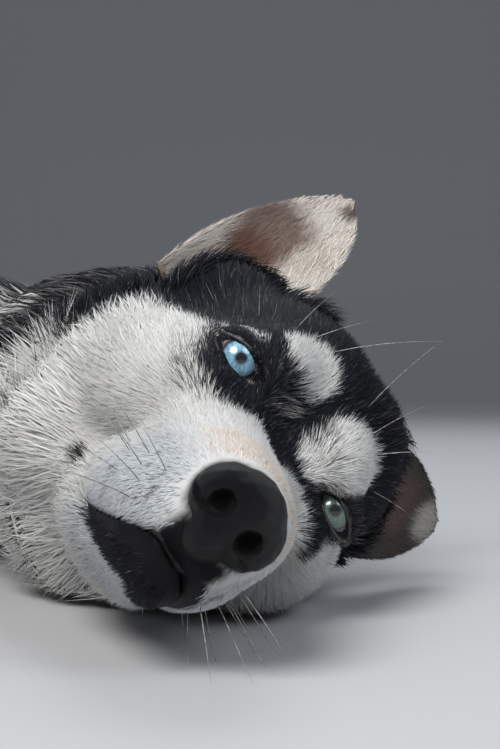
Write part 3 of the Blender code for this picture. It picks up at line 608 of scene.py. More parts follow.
def mottle_group():
    """The fine mottle and roughness of skin, horn and leather, which several materials share."""
    group = bpy.data.node_groups.new("mottle", "ShaderNodeTree")
    for name, kind in MOTTLE_INPUTS:
        group.interface.new_socket(name, in_out="INPUT", socket_type=f"NodeSocket{kind}")
    group.interface.new_socket("Colour", in_out="OUTPUT", socket_type="NodeSocketColor")
    group.interface.new_socket("Normal", in_out="OUTPUT", socket_type="NodeSocketVector")
    given = group.nodes.new("NodeGroupInput")
    result = group.nodes.new("NodeGroupOutput")
    noise = add_node(group, "TexNoise")
    share = add_node(group, "MapRange")
    mix = add_node(group, "Mix", data_type="RGBA")
    bump = add_node(group, "Bump")
    wire(
        group,
        (given, "Scale", noise, "Scale"), (given, "Detail", noise, "Detail"),
        (noise, "Fac", share, "Value"), (noise, "Fac", bump, "Height"),
        (given, "Low", share, "From Min"), (given, "High", share, "From Max"),
        (share, "Result", mix, MIX_SHARE), (given, "Dark", mix, MIX_FIRST),
        (given, "Light", mix, MIX_SECOND), (mix, MIX_RESULT, result, "Colour"),
        (given, "Strength", bump, "Strength"), (given, "Depth", bump, "Distance"),
        (bump, "Normal", result, "Normal"),
    )
    return group


mottle = mottle_group()


def painted(name, points, corners, colours, bare, unwrap, material):
    """A shown piece of the coat or skin with its colours, bareness and bake map."""
    mesh = bpy.data.meshes.new(name)
    mesh.vertices.add(len(points))
    mesh.vertices.foreach_set("co", points.astype(np.float32).ravel())
    mesh.loops.add(len(corners) * 3)
    mesh.loops.foreach_set("vertex_index", corners.astype(np.int32).ravel())
    mesh.polygons.add(len(corners))
    starts = np.arange(0, len(corners) * 3, 3, dtype=np.int32)
    mesh.polygons.foreach_set("loop_start", starts)
    mesh.polygons.foreach_set("loop_total", np.full(len(corners), 3, np.int32))
    mesh.update(calc_edges=True)
    mesh.shade_smooth()
    paint = mesh.attributes.new("coat", "FLOAT_COLOR", "POINT")
    solid = np.concatenate([colours, np.ones((len(points), 1))], 1)
    paint.data.foreach_set("color", solid.astype(np.float32).ravel())
    wet = mesh.attributes.new("bare", "FLOAT", "POINT")
    wet.data.foreach_set("value", bare.astype(np.float32))
    layer = mesh.uv_layers.new(name="OFBake")
    layer.data.foreach_set("uv", unwrap[corners.ravel()].astype(np.float32).ravel())
    mesh.materials.append(material)
    made = put(name, mesh)
    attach(made, "root")
    return made


def round_head(points):
    """The bake map of the head: round it and along it."""
    places = unrolled(in_head(points))
    along = (places[:, 1] + MAP_START) / MAP_LENGTH
    return np.stack([places[:, 0] / (360 * DEGREE) + 0.5, along], 1)


def lip_edge(gap, at_head, widest):
    """1 on the black lips: where the jaws meet, widening from the cheek to the nose."""
    start, run = LIP_WIDENS
    width = 0.5 + widest * np.clip((at_head[:, 1] - start) / run, 0, 1)
    return soft(width - gap, 2.5) * soft(at_head[:, 1] - LIP_START, 16)


skin_leather, tree, shader = new_material("skin", {"Specular IOR Level": 0.1})
paint = add_node(tree, "Attribute", attribute_name="coat")
bare = add_node(tree, "Attribute", attribute_name="bare")
gloss = add_node(tree, "MapRange", {"To Min": 0.75, "To Max": 0.45})
wrinkles = add_node(
    tree, "Group", {"Scale": 900, "Detail": 2, "Strength": 0.5, "Depth": 0.0004},
    node_tree=mottle,
)
wire(
    tree,
    (paint, "Color", shader, "Base Color"), (bare, "Fac", gloss, "Value"),
    (gloss, "Result", shader, "Roughness"), (wrinkles, "Normal", shader, "Normal"),
)

skull_head, jaw_head = in_head(skull.points), in_head(jaw.points)
x, y, z = skull_head.T
skull_to_jaw = distance_to(skull.points, "lower_jaw")
jaw_to_lip = distance_to(jaw.points, "muzzle")
skull.dark = coat_darkness(skull)
corner = np.linalg.norm((skull_head - MOUTH_CORNER) * CORNER_SHAPE, axis=1)
skull.dark = np.maximum(skull.dark, 0.85 * soft(4.2 - corner, 3))
skull.length *= 1 - 0.45 * soft(13 - corner, 8)
# The upper lip's black runs up to the nose and under it. On the left it is widened, and under
# the nose it reaches further left, as painted shade of the shadow in the mouth
skull.lips = lip_edge(skull_to_jaw, skull_head, RIGHT_LIP + LEFT_LIP_SHADE * (x < LEFT_SHADE_FROM))
at_nose = soft(1.6 - distance_to(skull.points, "nose"), 1.5)
skull.lips = np.maximum(skull.lips, at_nose)
under_nose = soft(9 - distance_to(skull.points, "nose"), 4) * soft(-z - 42, 4)
# Painted shade: the black under the nose reaches 4 mm further on the left
under_nose *= soft(9.5 + 4 * (x < 0) - np.abs(x), 4)
skull.lips = np.maximum(skull.lips, under_nose * (y > 76))
# Painted shade: the jaw's hair and skin darken out from the lip, further towards the chin, for the
# shadow under the muzzle
to_chin = np.clip((jaw_head[:, 1] - 25) / 50, 0, 1)
jaw.dark = soft(CHIN_SHADE * to_chin - jaw_to_lip, 4)
jaw.lips = lip_edge(jaw_to_lip, jaw_head, LIP_WIDTH)
trunk.dark = coat_darkness(trunk)
trunk.lips = np.zeros(len(trunk.points))
for skin in (limbs, paws):
    skin.dark = np.zeros(len(skin.points))
    skin.lips = np.zeros(len(skin.points))

for name, skin, covers in (
    ("skin_of_head", skull, ("head", "muzzle")), ("skin_of_jaw", jaw, ("lower_jaw",)),
    ("skin_of_body", trunk, TORSO), ("skin_of_legs", limbs, LEGS), ("skin_of_paws", paws, PAWS),
):
    dark, lips = skin.dark[:, None], skin.lips[:, None]
    colours = WHITE * SKIN_TONE * (1 - dark) + BLACK * SKIN_BLACK * dark
    colours = colours * (1 - lips) + BLACK * LIP_BLACK * lips
    unwrap = round_head(skin.points)
    shown = painted(name, skin.points, skin.corners, colours, skin.lips, unwrap, skin_leather)
    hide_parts(*covers)


# ---------------------------------------------------------------------------------------------
# The eyes: a moist ball in each socket with an iris, ice-blue on the right and grey-green on the
# left, where it is painted darker as painted shade, a dark ring round it, a small pupil and a
# bulging cornea.

GAZE = {"right": Vector((0.06, 0.996, 0.058)), "left": Vector((0.11, 0.99, 0.067))}
IRIS_RADIUS = 6.8 * MM
PUPIL_RADIUS = 1.8 * MM
CORNEA_RISE = 0.55 * MM
BALL_GAP = 0.05
CENTIMETRE = 10 * MM
PUPIL_MIDDLE = (0.001, 0.001, 0.002, 1)
PUPIL_EDGE = (0.002, 0.004, 0.008, 1)
# Colours along the eye's radius, in centimetres from the middle of the pupil
IRIS = {
    "right": (
        (0.21, (0.06, 0.14, 0.21)), (0.30, (0.17, 0.35, 0.48)), (0.50, (0.24, 0.44, 0.57)),
        (0.60, (0.16, 0.31, 0.42)), (0.66, (0.02, 0.03, 0.05)), (0.71, (0.03, 0.02, 0.02)),
        (0.82, (0.30, 0.22, 0.21)),
    ),
    # The left iris is grey-green, and its colours are painted darker as painted shade
    "left": (
        (0.21, (0.03, 0.05, 0.04)), (0.30, (0.09, 0.135, 0.11)), (0.50, (0.10, 0.155, 0.13)),
        (0.60, (0.09, 0.14, 0.12)), (0.66, (0.02, 0.03, 0.03)), (0.71, (0.03, 0.02, 0.02)),
        (0.82, (0.22, 0.16, 0.15)),
    ),
}


def eye_paint(name):
    """A wet eye whose iris is painted in rings, streaked from the pupil outwards."""
    wet, tree, shader = new_material(
        f"eye_{name}", {"Roughness": 0.25, "Coat Weight": 0.8, "Coat Roughness": 0.06},
    )
    place = add_node(tree, "TexCoord")
    split = add_node(tree, "SeparateXYZ")
    flat = add_node(tree, "CombineXYZ")
    radius = add_node(tree, "VectorMath", operation="LENGTH")
    share = add_node(tree, "Math", {1: CENTIMETRE}, operation="DIVIDE")
    rings = add_node(tree, "ValToRGB")
    angle = add_node(tree, "Math", operation="ARCTAN2")
    spokes = add_node(tree, "CombineXYZ")
    fibres = add_node(tree, "TexNoise", {"Scale": 5, "Detail": 4})
    lighten = add_node(
        tree, "MapRange", {"From Min": 0.3, "From Max": 0.7, "To Min": 0.55, "To Max": 1.25},
    )
    streaked = add_node(tree, "VectorMath", operation="SCALE")
    ramp = rings.color_ramp
    ramp.elements[0].color = PUPIL_MIDDLE
    ramp.elements[1].position = PUPIL_RADIUS / CENTIMETRE
    ramp.elements[1].color = PUPIL_EDGE
    for at, colour in IRIS[name]:
        ramp.elements.new(at).color = (*colour, 1)
    wire(
        tree,
        (place, "Object", split, 0), (split, "X", flat, "X"), (split, "Z", flat, "Z"),
        (flat, 0, radius, 0), (radius, "Value", share, 0), (share, 0, rings, "Fac"),
        (split, "X", angle, 0), (split, "Z", angle, 1), (angle, 0, spokes, "X"),
        (share, 0, spokes, "Y"), (spokes, 0, fibres, "Vector"),
        (fibres, "Fac", lighten, "Value"), (rings, "Color", streaked, 0),
        (lighten, "Result", streaked, "Scale"), (streaked, 0, shader, "Base Color"),
    )
    return wet


for name, gaze in GAZE.items():
    bm = bmesh.new()
    bmesh.ops.create_uvsphere(
        bm, u_segments=64, v_segments=48, radius=(EYE_RADIUS - BALL_GAP) * MM,
    )
    bmesh.ops.rotate(bm, verts=bm.verts, matrix=Matrix.Rotation(pi / 2, 3, "X"))
    for vertex in bm.verts:
        out = sqrt(vertex.co.x ** 2 + vertex.co.z ** 2)
        if vertex.co.y > 0 and out < IRIS_RADIUS:
            vertex.co.y += CORNEA_RISE * cos(out / IRIS_RADIUS * pi / 2)
    mesh = bpy.data.meshes.new("ball")
    bm.to_mesh(mesh)
    bm.free()
    mesh.shade_smooth()
    mesh.materials.append(eye_paint(name))
    ball = put(f"eyeball_{name}", mesh)
    gaze_turn = Vector((0, 1, 0)).rotation_difference(gaze).to_matrix().to_4x4()
    in_metres = gaze_turn @ Matrix.Scale(1 / MM, 4)
    ball.matrix_world = HEAD @ Matrix.Translation(ball_centre[name]) @ in_metres
    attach(ball, "root")
    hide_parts(f"eye_{name}")


# ---------------------------------------------------------------------------------------------
# The lids: a band of bare dark skin round each almond opening, a moist rim along its edge, the
# pink third lid in the inner corner and a few lashes above. They lie on the eyeball.

ALMOND_TILT = radians(-8)
OPENING_HEIGHT = {"right": 4.8, "left": 3.3}
UPPER_ARCH, LOWER_ARCH = 1.08, 0.95
INNER_CORNER = 0.6
INNER_CORNER_RISE = 4.0
# The band from its inner edge outwards and back below: half length, height over the opening's,
# and height over the eyeball
LID_BAND = (
    (11.7, 0.1, 0.25), (12.0, 0.5, 0.85), (12.6, 1.2, 1.05), (13.3, 2.1, 1.0), (14.0, 3.0, 0.5),
    (13.6, 2.6, -0.1), (12.6, 1.2, -0.1),
)
RIM_LINE = (11.9, 0.3, 0.75)
LASH_LINE = (12.2, 0.7, 1.1)
RIM_THICKNESS = 0.75
RIM_STEPS = 96
# Lumps of the corners: place along the opening, from the inner corner at -1, width and height
# in millimetres, and how far each stands out
CORNER_LUMPS = ((-1.06, 2.2, 1.9, 2.7), (-0.82, 1.3, 1.4, 0.5), (0.94, 0.7, 1.1, 0.5))
CORNER_REACH = 12.0
LASHES = 26
LASH_FROM, LASH_SPAN = 0.06, 0.34
LASH_RADII = (0.12, 0.09, 0.02)


def mottled(name, dark, light, scale, shine, detail=2, low=0, high=1, bump=(0, 0)):
    """Skin, horn or leather, mottled from dark to light and, with a bump, finely rough."""
    made, tree, shader = new_material(name, shine)
    grain = add_node(
        tree, "Group",
        {
            "Scale": scale, "Detail": detail, "Low": low, "High": high, "Dark": (*dark, 1),
            "Light": (*light, 1), "Strength": bump[0], "Depth": bump[1],
        },
        node_tree=mottle,
    )
    wire(tree, (grain, "Colour", shader, "Base Color"))
    if bump[0]:
        wire(tree, (grain, "Normal", shader, "Normal"))
    return made


def tube(bm, points, radii, sides=8):
    """A closed or pointed tube through points, with a radius at each."""
    closed = (points[0] - points[-1]).length < 1e-9
    if closed:
        points, radii = points[:-1], radii[:-1]
    count = len(points)
    rings = []
    lead = None
    for i, point in enumerate(points):
        after = points[(i + 1) % count] if closed else points[min(i + 1, count - 1)]
        before = points[i - 1] if closed else points[max(i - 1, 0)]
        along = (after - before).normalized()
        lead = lead - along * lead.dot(along) if lead else along.orthogonal()
        lead.normalize()
        across = along.cross(lead)
        turns = [(cos(tau * k / sides), sin(tau * k / sides)) for k in range(sides)]
        rings.append([bm.verts.new(point + (lead * c + across * s) * radii[i]) for c, s in turns])
    for near, far in list(zip(rings, rings[1:])) + closed * [(rings[-1], rings[0])]:
        for k in range(sides):
            after = (k + 1) % sides
            bm.faces.new((near[k], near[after], far[after], far[k]))
    if not closed:
        bm.faces.new(reversed(rings[0]))
        bm.faces.new(rings[-1])


def finished(name, bm, material):
    """A shown object from a bmesh, riding with the dog."""
    bmesh.ops.recalc_face_normals(bm, faces=bm.faces)
    mesh = bpy.data.meshes.new(name)
    bm.to_mesh(mesh)
    bm.free()
    mesh.shade_smooth()
    mesh.materials.append(material)
    made = put(name, mesh)
    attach(made, "root")


def almond(name, length, higher, swell):
    """The opening's edge, once round, lying on a ball a little larger than the eye."""
    side = SIDES[name]
    height = OPENING_HEIGHT[name] + higher
    radius = EYE_RADIUS + swell
    points = []
    for k in range(RIM_STEPS):
        t = tau * k / RIM_STEPS
        x = cos(t) * length
        arch = UPPER_ARCH if sin(t) > 0 else LOWER_ARCH
        z = height * sin(t) * (1 - 0.25 * cos(t) ** 2) * arch
        out = Matrix.Rotation(-side * ALMOND_TILT, 3, "Y") @ Vector((x * side, 0, z))
        out.y = sqrt(max(radius ** 2 - out.length_squared, 0.1 * radius ** 2))
        if x < -INNER_CORNER * length:
            out.y += INNER_CORNER_RISE * (-x / length - INNER_CORNER)
        points.append(HEAD @ (ball_centre[name] + out))
    return points


rim_skin = mottled(
    "lid_rim", (0.008, 0.007, 0.008), (0.030, 0.024, 0.024), 700,
    {"Roughness": 0.35, "Coat Weight": 0.4, "Coat Roughness": 0.15}, bump=(0.4, 0.0002),
)
corner_flesh = mottled(
    "corner_flesh", (0.13, 0.08, 0.075), (0.32, 0.20, 0.19), 500,
    {"Roughness": 0.2, "Coat Weight": 0.8},
)

for name, side in SIDES.items():
    bm = bmesh.new()
    rings = [[bm.verts.new(p) for p in almond(name, *line)] for line in LID_BAND]
    for near, far in zip(rings, rings[1:] + rings[:1]):
        for k in range(RIM_STEPS):
            after = (k + 1) % RIM_STEPS
            bm.faces.new((near[k], near[after], far[after], far[k]))
    finished(f"lids_{name}", bm, rim_skin)

    bm = bmesh.new()
    edge = almond(name, *RIM_LINE)
    turns = [abs(cos(tau * k / RIM_STEPS)) for k in range(RIM_STEPS + 1)]
    tube(bm, edge + edge[:1], [RIM_THICKNESS * MM * (0.8 + 0.5 * turn ** 6) for turn in turns])
    finished(f"lid_rim_{name}", bm, rim_skin)

    bm = bmesh.new()
    for share, width, size, rise in CORNER_LUMPS:
        level = Vector((share * CORNER_REACH * side, 0, 0))
        place = Matrix.Rotation(-side * ALMOND_TILT, 3, "Y") @ level
        flat = min(place.length_squared, 0.9 * EYE_RADIUS ** 2)
        place.y = sqrt(EYE_RADIUS ** 2 - flat) + rise
        shape = Matrix.Diagonal((width, size, size * 0.8, 1))
        shape = Matrix.Translation(ball_centre[name] + place) @ shape
        bmesh.ops.create_icosphere(bm, subdivisions=3, radius=1, matrix=HEAD @ shape)
    finished(f"eye_corner_{name}", bm, corner_flesh)

    bm = bmesh.new()
    upper = almond(name, *LASH_LINE)
    lift = (head_turn.to_3x3() @ Vector((0.35 * side, 0.2, 1))).normalized()
    for k in range(LASHES):
        start = upper[int(RIM_STEPS * (LASH_FROM + LASH_SPAN * k / LASHES))]
        out = (start - HEAD @ ball_centre[name]).normalized()
        reach = (2.6 + 1.6 * ((k * 7) % 5) / 5) * MM
        bend, tip = out * 0.8 + lift * 0.5, out + lift * 1.3
        path = [start, start + bend * reach, start + tip * reach]
        tube(bm, path, [radius * MM for radius in LASH_RADII], sides=5)
    finished(f"lashes_{name}", bm, rim_skin)


# ---------------------------------------------------------------------------------------------
# The nose: a pad of black pebbled leather with deep nostrils. It is made from the solid's own
# form, smoothed, and sits on the end of the muzzle.

NOSE_GRAIN = 0.6 * MM
# Colour of the pebbles' tops and of the grooves between them, which are darker as painted shade
PEBBLE_TOP = (0.0055, 0.0055, 0.007, 1)
PEBBLE_GROOVE_SHADE = (0.0025, 0.0025, 0.003, 1)

nose_leather, tree, shader = new_material(
    "nose_leather", {"Roughness": 0.3, "Specular IOR Level": 0.22},
)
pebbles = add_node(tree, "TexVoronoi", {"Scale": 900})
tone = add_node(tree, "ValToRGB")
tone.color_ramp.elements[0].color = PEBBLE_TOP
tone.color_ramp.elements[1].color = PEBBLE_GROOVE_SHADE
pebble_bump = add_node(tree, "Bump", {"Strength": 0.7, "Distance": 0.00025}, invert=True)
wire(
    tree,
    (pebbles, "Distance", tone, "Fac"), (tone, "Color", shader, "Base Color"),
    (pebbles, "Distance", pebble_bump, "Height"), (pebble_bump, "Normal", shader, "Normal"),
)

nose_mesh = joined_flesh("nose", ("nose",), NOSE_GRAIN, 3)
nose_mesh.shade_smooth()
nose_mesh.materials.clear()
nose_mesh.materials.append(nose_leather)
nose = put("nose_pad", nose_mesh)
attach(nose, "root")
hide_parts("nose")


# ---------------------------------------------------------------------------------------------
# The hair. Each tuft is a closed, three-sided blade that grows out of the skin, leans along
# the lie and tapers to a point. Several lots cover the dog, short on the face, long behind.

# The share of its own normal that a blade gives up to the skin's, so that the coat looks soft
SOFT_NORMAL = 0.45
ROOT_SINK = 0.3 * MM
GROUND_GAP = 0.3 * MM
ARCH = 1.6
TAPER = 0.55
ROOT_WIDTH = 0.8
RIDGE = 0.42
# Painted shade along each tuft: its colour is darkened towards the root, where the coat shades it,
# and lifted a little at the tip
ROOT_SHADE, TIP_SHADE = 0.78, 1.04
TIP_RISE = 1.02
BLADE_SIDES = ((0, 2), (2, 1), (1, 0))
PATCH = 0.003
# Colour of single hairs: contrast at the edge of a marking, cream in the white, and the least
# and most brightness of white and of black ones
EDGE_CONTRAST = 1.6
CREAM_SHARE = 0.35
WHITE_TONES = (0.74, 1.1)
BLACK_TONES = (0.4, 2.0)
WARM_BRIDGE = np.array((0.98, 0.88, 0.80))
# Painted shade on the low side of the muzzle: its white hair darkened and turned bluer
SHADED_SIDE = np.array((0.80, 0.85, 0.92))
FRECKLES = np.random.default_rng(7).uniform((10, 44, -60), (32, 86, -36), (70, 3))
FRECKLE_SHAPE = (0.25, 1, 1)
FRECKLE_DARK = 0.7
FACE_TUFTS = 38000
# Name, skin, parts, number of tufts, rings, width, seed, greying, stray and lift
BODY_LOTS = (
    ("neck_hair", trunk, ("neck",), 14000, 2, 1.2, 400, 0.6, 0.08, 0.5),
    ("chest_hair", trunk, ("chest",), 15000, 2, 2.1, 401, 0.6, 0.15, 0.85),
    ("loin_hair", trunk, TORSO[2:5], 15000, 2, 2.1, 402, 0.6, 0.15, 0.85),
    ("tail_hair", trunk, TAIL, 7000, 2, 2.4, 403, 0.6, 0.18, 1.0),
    ("leg_hair", limbs, LEGS, 15000, 1, 1.4, 410, 0.1, 0.16, 1.0),
    ("paw_hair", paws, PAWS, 13000, 1, 0.8, 411, 0.1, 0.16, 1.0),
)

hair_finish, tree, shader = new_material("hair", {"Roughness": 0.7, "Specular IOR Level": 0.07})
paint = add_node(tree, "Attribute", attribute_name="coat")
wire(tree, (paint, "Color", shader, "Base Color"))


def scattered(skin, count, density, chance):
    """Roots spread over a skin: triangle, and the share of each of its corners."""
    weight = skin.area * density[skin.corners].mean(1) + 1e-15
    chosen = chance.choice(len(skin.corners), count, p=weight / weight.sum())
    u, v = chance.random(count), chance.random(count)
    flip = u + v > 1
    u[flip], v[flip] = 1 - u[flip], 1 - v[flip]
    return skin.corners[chosen], np.stack([1 - u - v, u, v], 1)


def spread(values, corners, shares):
    """Values at the roots, from those at the skin's points."""
    rows = values[corners]
    return (rows * (shares[:, :, None] if rows.ndim == 3 else shares)).sum(1)


def level(rows, up):
    """Directions laid flat on a surface with those normals."""
    return unit(rows - up * (rows * up).sum(1, keepdims=True))


def blade_faces(rings, tip):
    """The triangles of one tuft, whose rings of three points are numbered from the root."""
    faces = [(0, 1, 2)]
    for a in range(0, (rings - 1) * 3, 3):
        for i, j in BLADE_SIDES:
            faces += [(a + j, a + 3 + j, a + 3 + i), (a + j, a + 3 + i, a + i)]
    last = (rings - 1) * 3
    return np.array(faces + [(last + j, tip, last + i) for i, j in BLADE_SIDES])


def grow(name, skin, count, density, rings, width, seed, paint, unwrap, stray=0.16, lift=1.0):
    """One lot of hair as a single mesh of closed tufts."""
    chance = np.random.default_rng(seed)
    corners, shares = scattered(skin, count, density, chance)
    root = spread(skin.points, corners, shares)
    normal = unit(spread(skin.normals, corners, shares))
    length = spread(skin.length, corners, shares) * chance.uniform(0.65, 1.15, count)
    depth = spread(skin.depth, corners, shares) * chance.uniform(0.35, 1.05, count) * lift
    lean = level(spread(skin.lie, corners, shares), normal)
    lean = unit(lean + np.cross(normal, lean) * chance.normal(0, stray, (count, 1)))
    colours = paint(root, corners, shares, chance)
    vertices, facing, tint = [], [], []
    at, heading, up = root.copy(), lean, normal
    for ring in range(rings):
        share = ring / rings
        middle = at + up * (depth * (1 - (1 - share) ** ARCH))[:, None]
        if ring == 0:
            middle = middle - up * ROOT_SINK
        wide = width * (1 - TAPER * share ** 1.5) * (ROOT_WIDTH if ring == 0 else 1)
        side = np.cross(up, heading)
        vertices += [middle + side * wide / 2, middle - side * wide / 2, middle + up * wide * RIDGE]
        facing += [unit(up * 1.2 + side), unit(up * 1.2 - side), up]
        # Painted shade: rings nearer the root are darker
        tint += [ROOT_SHADE + (1 - ROOT_SHADE) * share] * 3
        ahead = at + heading * (length / rings)[:, None]
        found = [skin.tree.find_nearest(p) for p in ahead.tolist()]
        at = np.array([f[0] for f in found])
        up = skin.face_normals[[f[2] for f in found]]
        heading = level(heading, up)
    vertices.append(at + up * depth[:, None] * TIP_RISE)
    facing.append(up)
    tint.append(TIP_SHADE)
    per = len(vertices)
    points = np.stack(vertices, 1).reshape(-1, 3)
    points[:, 2] = np.maximum(points[:, 2], GROUND_GAP)
    own = np.stack(facing, 1).reshape(-1, 3)
    normals = unit(own * (1 - SOFT_NORMAL) + np.repeat(normal, per, 0) * SOFT_NORMAL)
    faces = blade_faces(rings, per - 1)[None] + (np.arange(count) * per)[:, None, None]
    shade = (colours[:, None, :] * np.array(tint)[None, :, None]).reshape(-1, 3)
    patch = [((k // 3) / rings, (k % 3) / 2) for k in range(per - 1)] + [(1, 0.5)]
    patch = np.array(patch) * PATCH - PATCH / 2
    flat = (unwrap(root)[:, None, :] + patch[None]).reshape(-1, 2)
    made = painted(
        name, points, faces.reshape(-1, 3), np.clip(shade, 0, 1), np.zeros(len(points)), flat,
        hair_finish,
    )
    made.data.normals_split_custom_set_from_vertices(normals.tolist())


def face_tint(root, light):
    """The muzzle's tones on its white hair: warm above the nose, freckled beside, and painted
    shade, darker and bluer, low on its side.
    """
    at_head = in_head(root)
    x, y, z = at_head.T
    warm = soft(y - 58, 24) * soft(z + 26, 14)
    # Painted shade low on the muzzle's side
    shaded = soft(y - 30, 40) * soft(-30 - z, 20)
    light = light * (1 - warm[:, None] * (1 - WARM_BRIDGE))
    light = light * (1 - shaded[:, None] * (1 - SHADED_SIDE))
    near = np.full(len(root), 9.0)
    close = (y > 25) & (z < -28)
    beside = to_right_half(at_head[close])
    for spot in FRECKLES:
        away = np.linalg.norm((beside - spot) * FRECKLE_SHAPE, axis=1)
        near[close] = np.minimum(near[close], away)
    return light * (1 - FRECKLE_DARK * soft(1.0 - near, 0.9)[:, None])


def marked(skin, greying=0.1):
    """Colours for roots: dark or white by the markings, mixed hair by hair at their edges."""
    def colours(root, corners, shares, chance):
        count = len(root)
        dark = spread(skin.dark, corners, shares)
        pick = np.clip((dark - chance.random(count)) * EDGE_CONTRAST + dark, 0, 1)[:, None]
        warm = chance.random((count, 1)) ** 2
        light = WHITE * (1 - CREAM_SHARE * warm) + CREAM * CREAM_SHARE * warm
        light = face_tint(root, light * chance.uniform(*WHITE_TONES, (count, 1)))
        streak = (chance.random((count, 1)) < greying) * chance.random((count, 1))
        slate = chance.random((count, 1))
        deep = BLACK * (1 - slate) + SLATE * slate
        deep = deep * (1 - streak) + GREY * 0.5 * streak
        return light * (1 - pick) + deep * chance.uniform(*BLACK_TONES, (count, 1)) * pick
    return colours


# The face: no hair on the lips, behind the nose pad or in the crease of the cheek, and short
# hair along the upper lip
behind_pad = soft(1 - (x / 17) ** 2 - ((z + 34) / 15) ** 2, 0.2) * (y > 80)
crease = soft(3.5 - skull_to_jaw, 2) * soft(26 - y, 10)
hairy = (1 - np.clip(skull.lips * 1.3, 0, 1)) * (1 - behind_pad) * (1 - crease)
skull.length *= 1 - 0.25 * soft(y - 60, 30) * soft(-30 - z, 16)
lip_hair = soft(6 - skull_to_jaw, 5) * soft(y - 32, 16)
skull.length = skull.length * (1 - lip_hair) + 8.5 * MM * lip_hair
skull.depth = skull.depth * (1 - lip_hair) + 1.6 * MM * lip_hair
short = np.clip(9 * MM / skull.length, 0.12, 1) ** 1.3
for lot in range(3):
    grow(
        f"face_hair_{lot}", skull, FACE_TUFTS, hairy * short, 1, 0.6 * MM, 100 + lot,
        marked(skull), round_head,
    )

# The cheeks and the ruff, longer where they reach over the neck
at_nape = soft(26 - distance_to(skull.points, "neck"), 24)
skull.length *= 1 + 0.5 * at_nape
skull.depth *= 1 - 0.4 * at_nape
long_hair = np.clip((skull.length / MM - 10) / 10, 0, 1) * (1 + 1.5 * at_nape)
for lot in range(2):
    grow(
        f"cheek_hair_{lot}", skull, 12000, long_hair, 2, 0.85 * MM, 200 + lot, marked(skull),
        round_head, lift=0.9,
    )

jaw_hairy = 1 - np.clip(jaw.lips * 1.3, 0, 1)
jaw.length *= 1 + 1.2 * soft(32 - jaw_head[:, 1], 30)
jaw.depth = np.clip(jaw.length * 0.25, 1 * MM, 4 * MM)
grow("jaw_hair", jaw, 8000, jaw_hairy, 1, 0.6 * MM, 300, marked(jaw), round_head)

# Tufts at the foot of each ear, which stand up along it
EAR_WAY = {"right": (0.03, -0.2, 0.97), "left": (-0.75, -0.3, 0.6)}
at_ears = soft(13 - distance_to(skull.points, "ear_right", "ear_left"), 6) * soft(z + 12, 10)
ear_way = np.where(x[:, None] > 0, EAR_WAY["right"], EAR_WAY["left"]) @ OUT_OF_HEAD / MM
skull.length = skull.length * (1 - at_ears) + 10 * MM * at_ears
skull.depth = skull.depth * (1 - at_ears) + 11 * MM * at_ears
skull.lie = skull.lie * (1 - at_ears[:, None]) + ear_way * at_ears[:, None]
grow(
    "ear_base_hair", skull, 5000, at_ears, 2, 0.8 * MM, 420, marked(skull), round_head, stray=0.2,
)


def along_body(points):
    """The bake map of the body: round it and along it."""
    away = points - np.array(middle_of("chest"))
    along = away @ np.array(body_forward)
    turn = np.arctan2(away[:, 2], away @ np.array(body_up))
    return np.stack([turn / tau + 0.5, (along + 0.75) / 1.5], 1)


for name, skin, parts, count, rings, width, seed, greying, stray, lift in BODY_LOTS:
    here = np.isin(skin.names, parts).astype(float)
    grow(
        name, skin, count, here, rings, width * MM, seed, marked(skin, greying), along_body,
        stray=stray, lift=lift,
    )


# ---------------------------------------------------------------------------------------------
# The claws and pads: dark horn, bent down from the end of each toe, and black rough cushions
# under the toes and behind them, set into the paws' skin.

BODY_PLACE = Vector((-181.7, 299, 10.6)) * MM
BODY_FRAME = (
    Matrix.Translation(HEAD.translation + BODY_PLACE)
    @ Matrix((body_forward, body_up, (0, 0, 1))).transposed().to_4x4()
    @ Matrix.Scale(MM, 4)
)
# Each paw's wrist, the way it points and its upper side, in the body's frame
PAW_PLACES = {
    "front_right": ((28, -344, -47), (0.62, -0.75, -0.20), (0.77, 0.62, 0.10)),
    "front_left": ((142, -285, -59), (0.90, -0.43, 0), (0.43, 0.90, 0)),
    "hind_right": ((-466, -356, -54), (0.62, -0.78, -0.08), (0.78, 0.62, 0)),
    "hind_left": ((-264, -340, -60), (0.93, -0.36, 0), (0.36, 0.93, 0)),
}
TOE_SPACING = 11.5
TOE_REACH = 52
TOE_LENGTHS = (0.86, 1, 1, 0.86)
TOE_PAD = (5.6, 7.6, 4.8, 1)
TOE_PAD_HEIGHT = -10.4
SOLE_HEIGHT = -15.4
# The lobes of the large pad: across, forward and half width
SOLE_LOBES = ((0, 22, 10), (-7, 16, 8), (7, 16, 8))
# Along the claw: across (of the toe's place), forward and up from the toe's end, and radius
CLAW = (
    (1.08, -8, 0.5, 3.0), (1.1, 0, 0, 2.9), (1.12, 4, -2.2, 2.2), (1.13, 7, -5.6, 1.3),
    (1.13, 8.2, -8.6, 0.4),
)
HORNY = {"detail": 5, "low": 0.35, "high": 0.7, "bump": (0.5, 0.0003)}

horn = mottled(
    "claw_horn", (0.012, 0.010, 0.009), (0.07, 0.055, 0.045), 260, {"Roughness": 0.35}, **HORNY,
)
cushion = mottled(
    "pad_leather", (0.008, 0.008, 0.009), (0.035, 0.030, 0.030), 700, {"Roughness": 0.75},
    **HORNY,
)

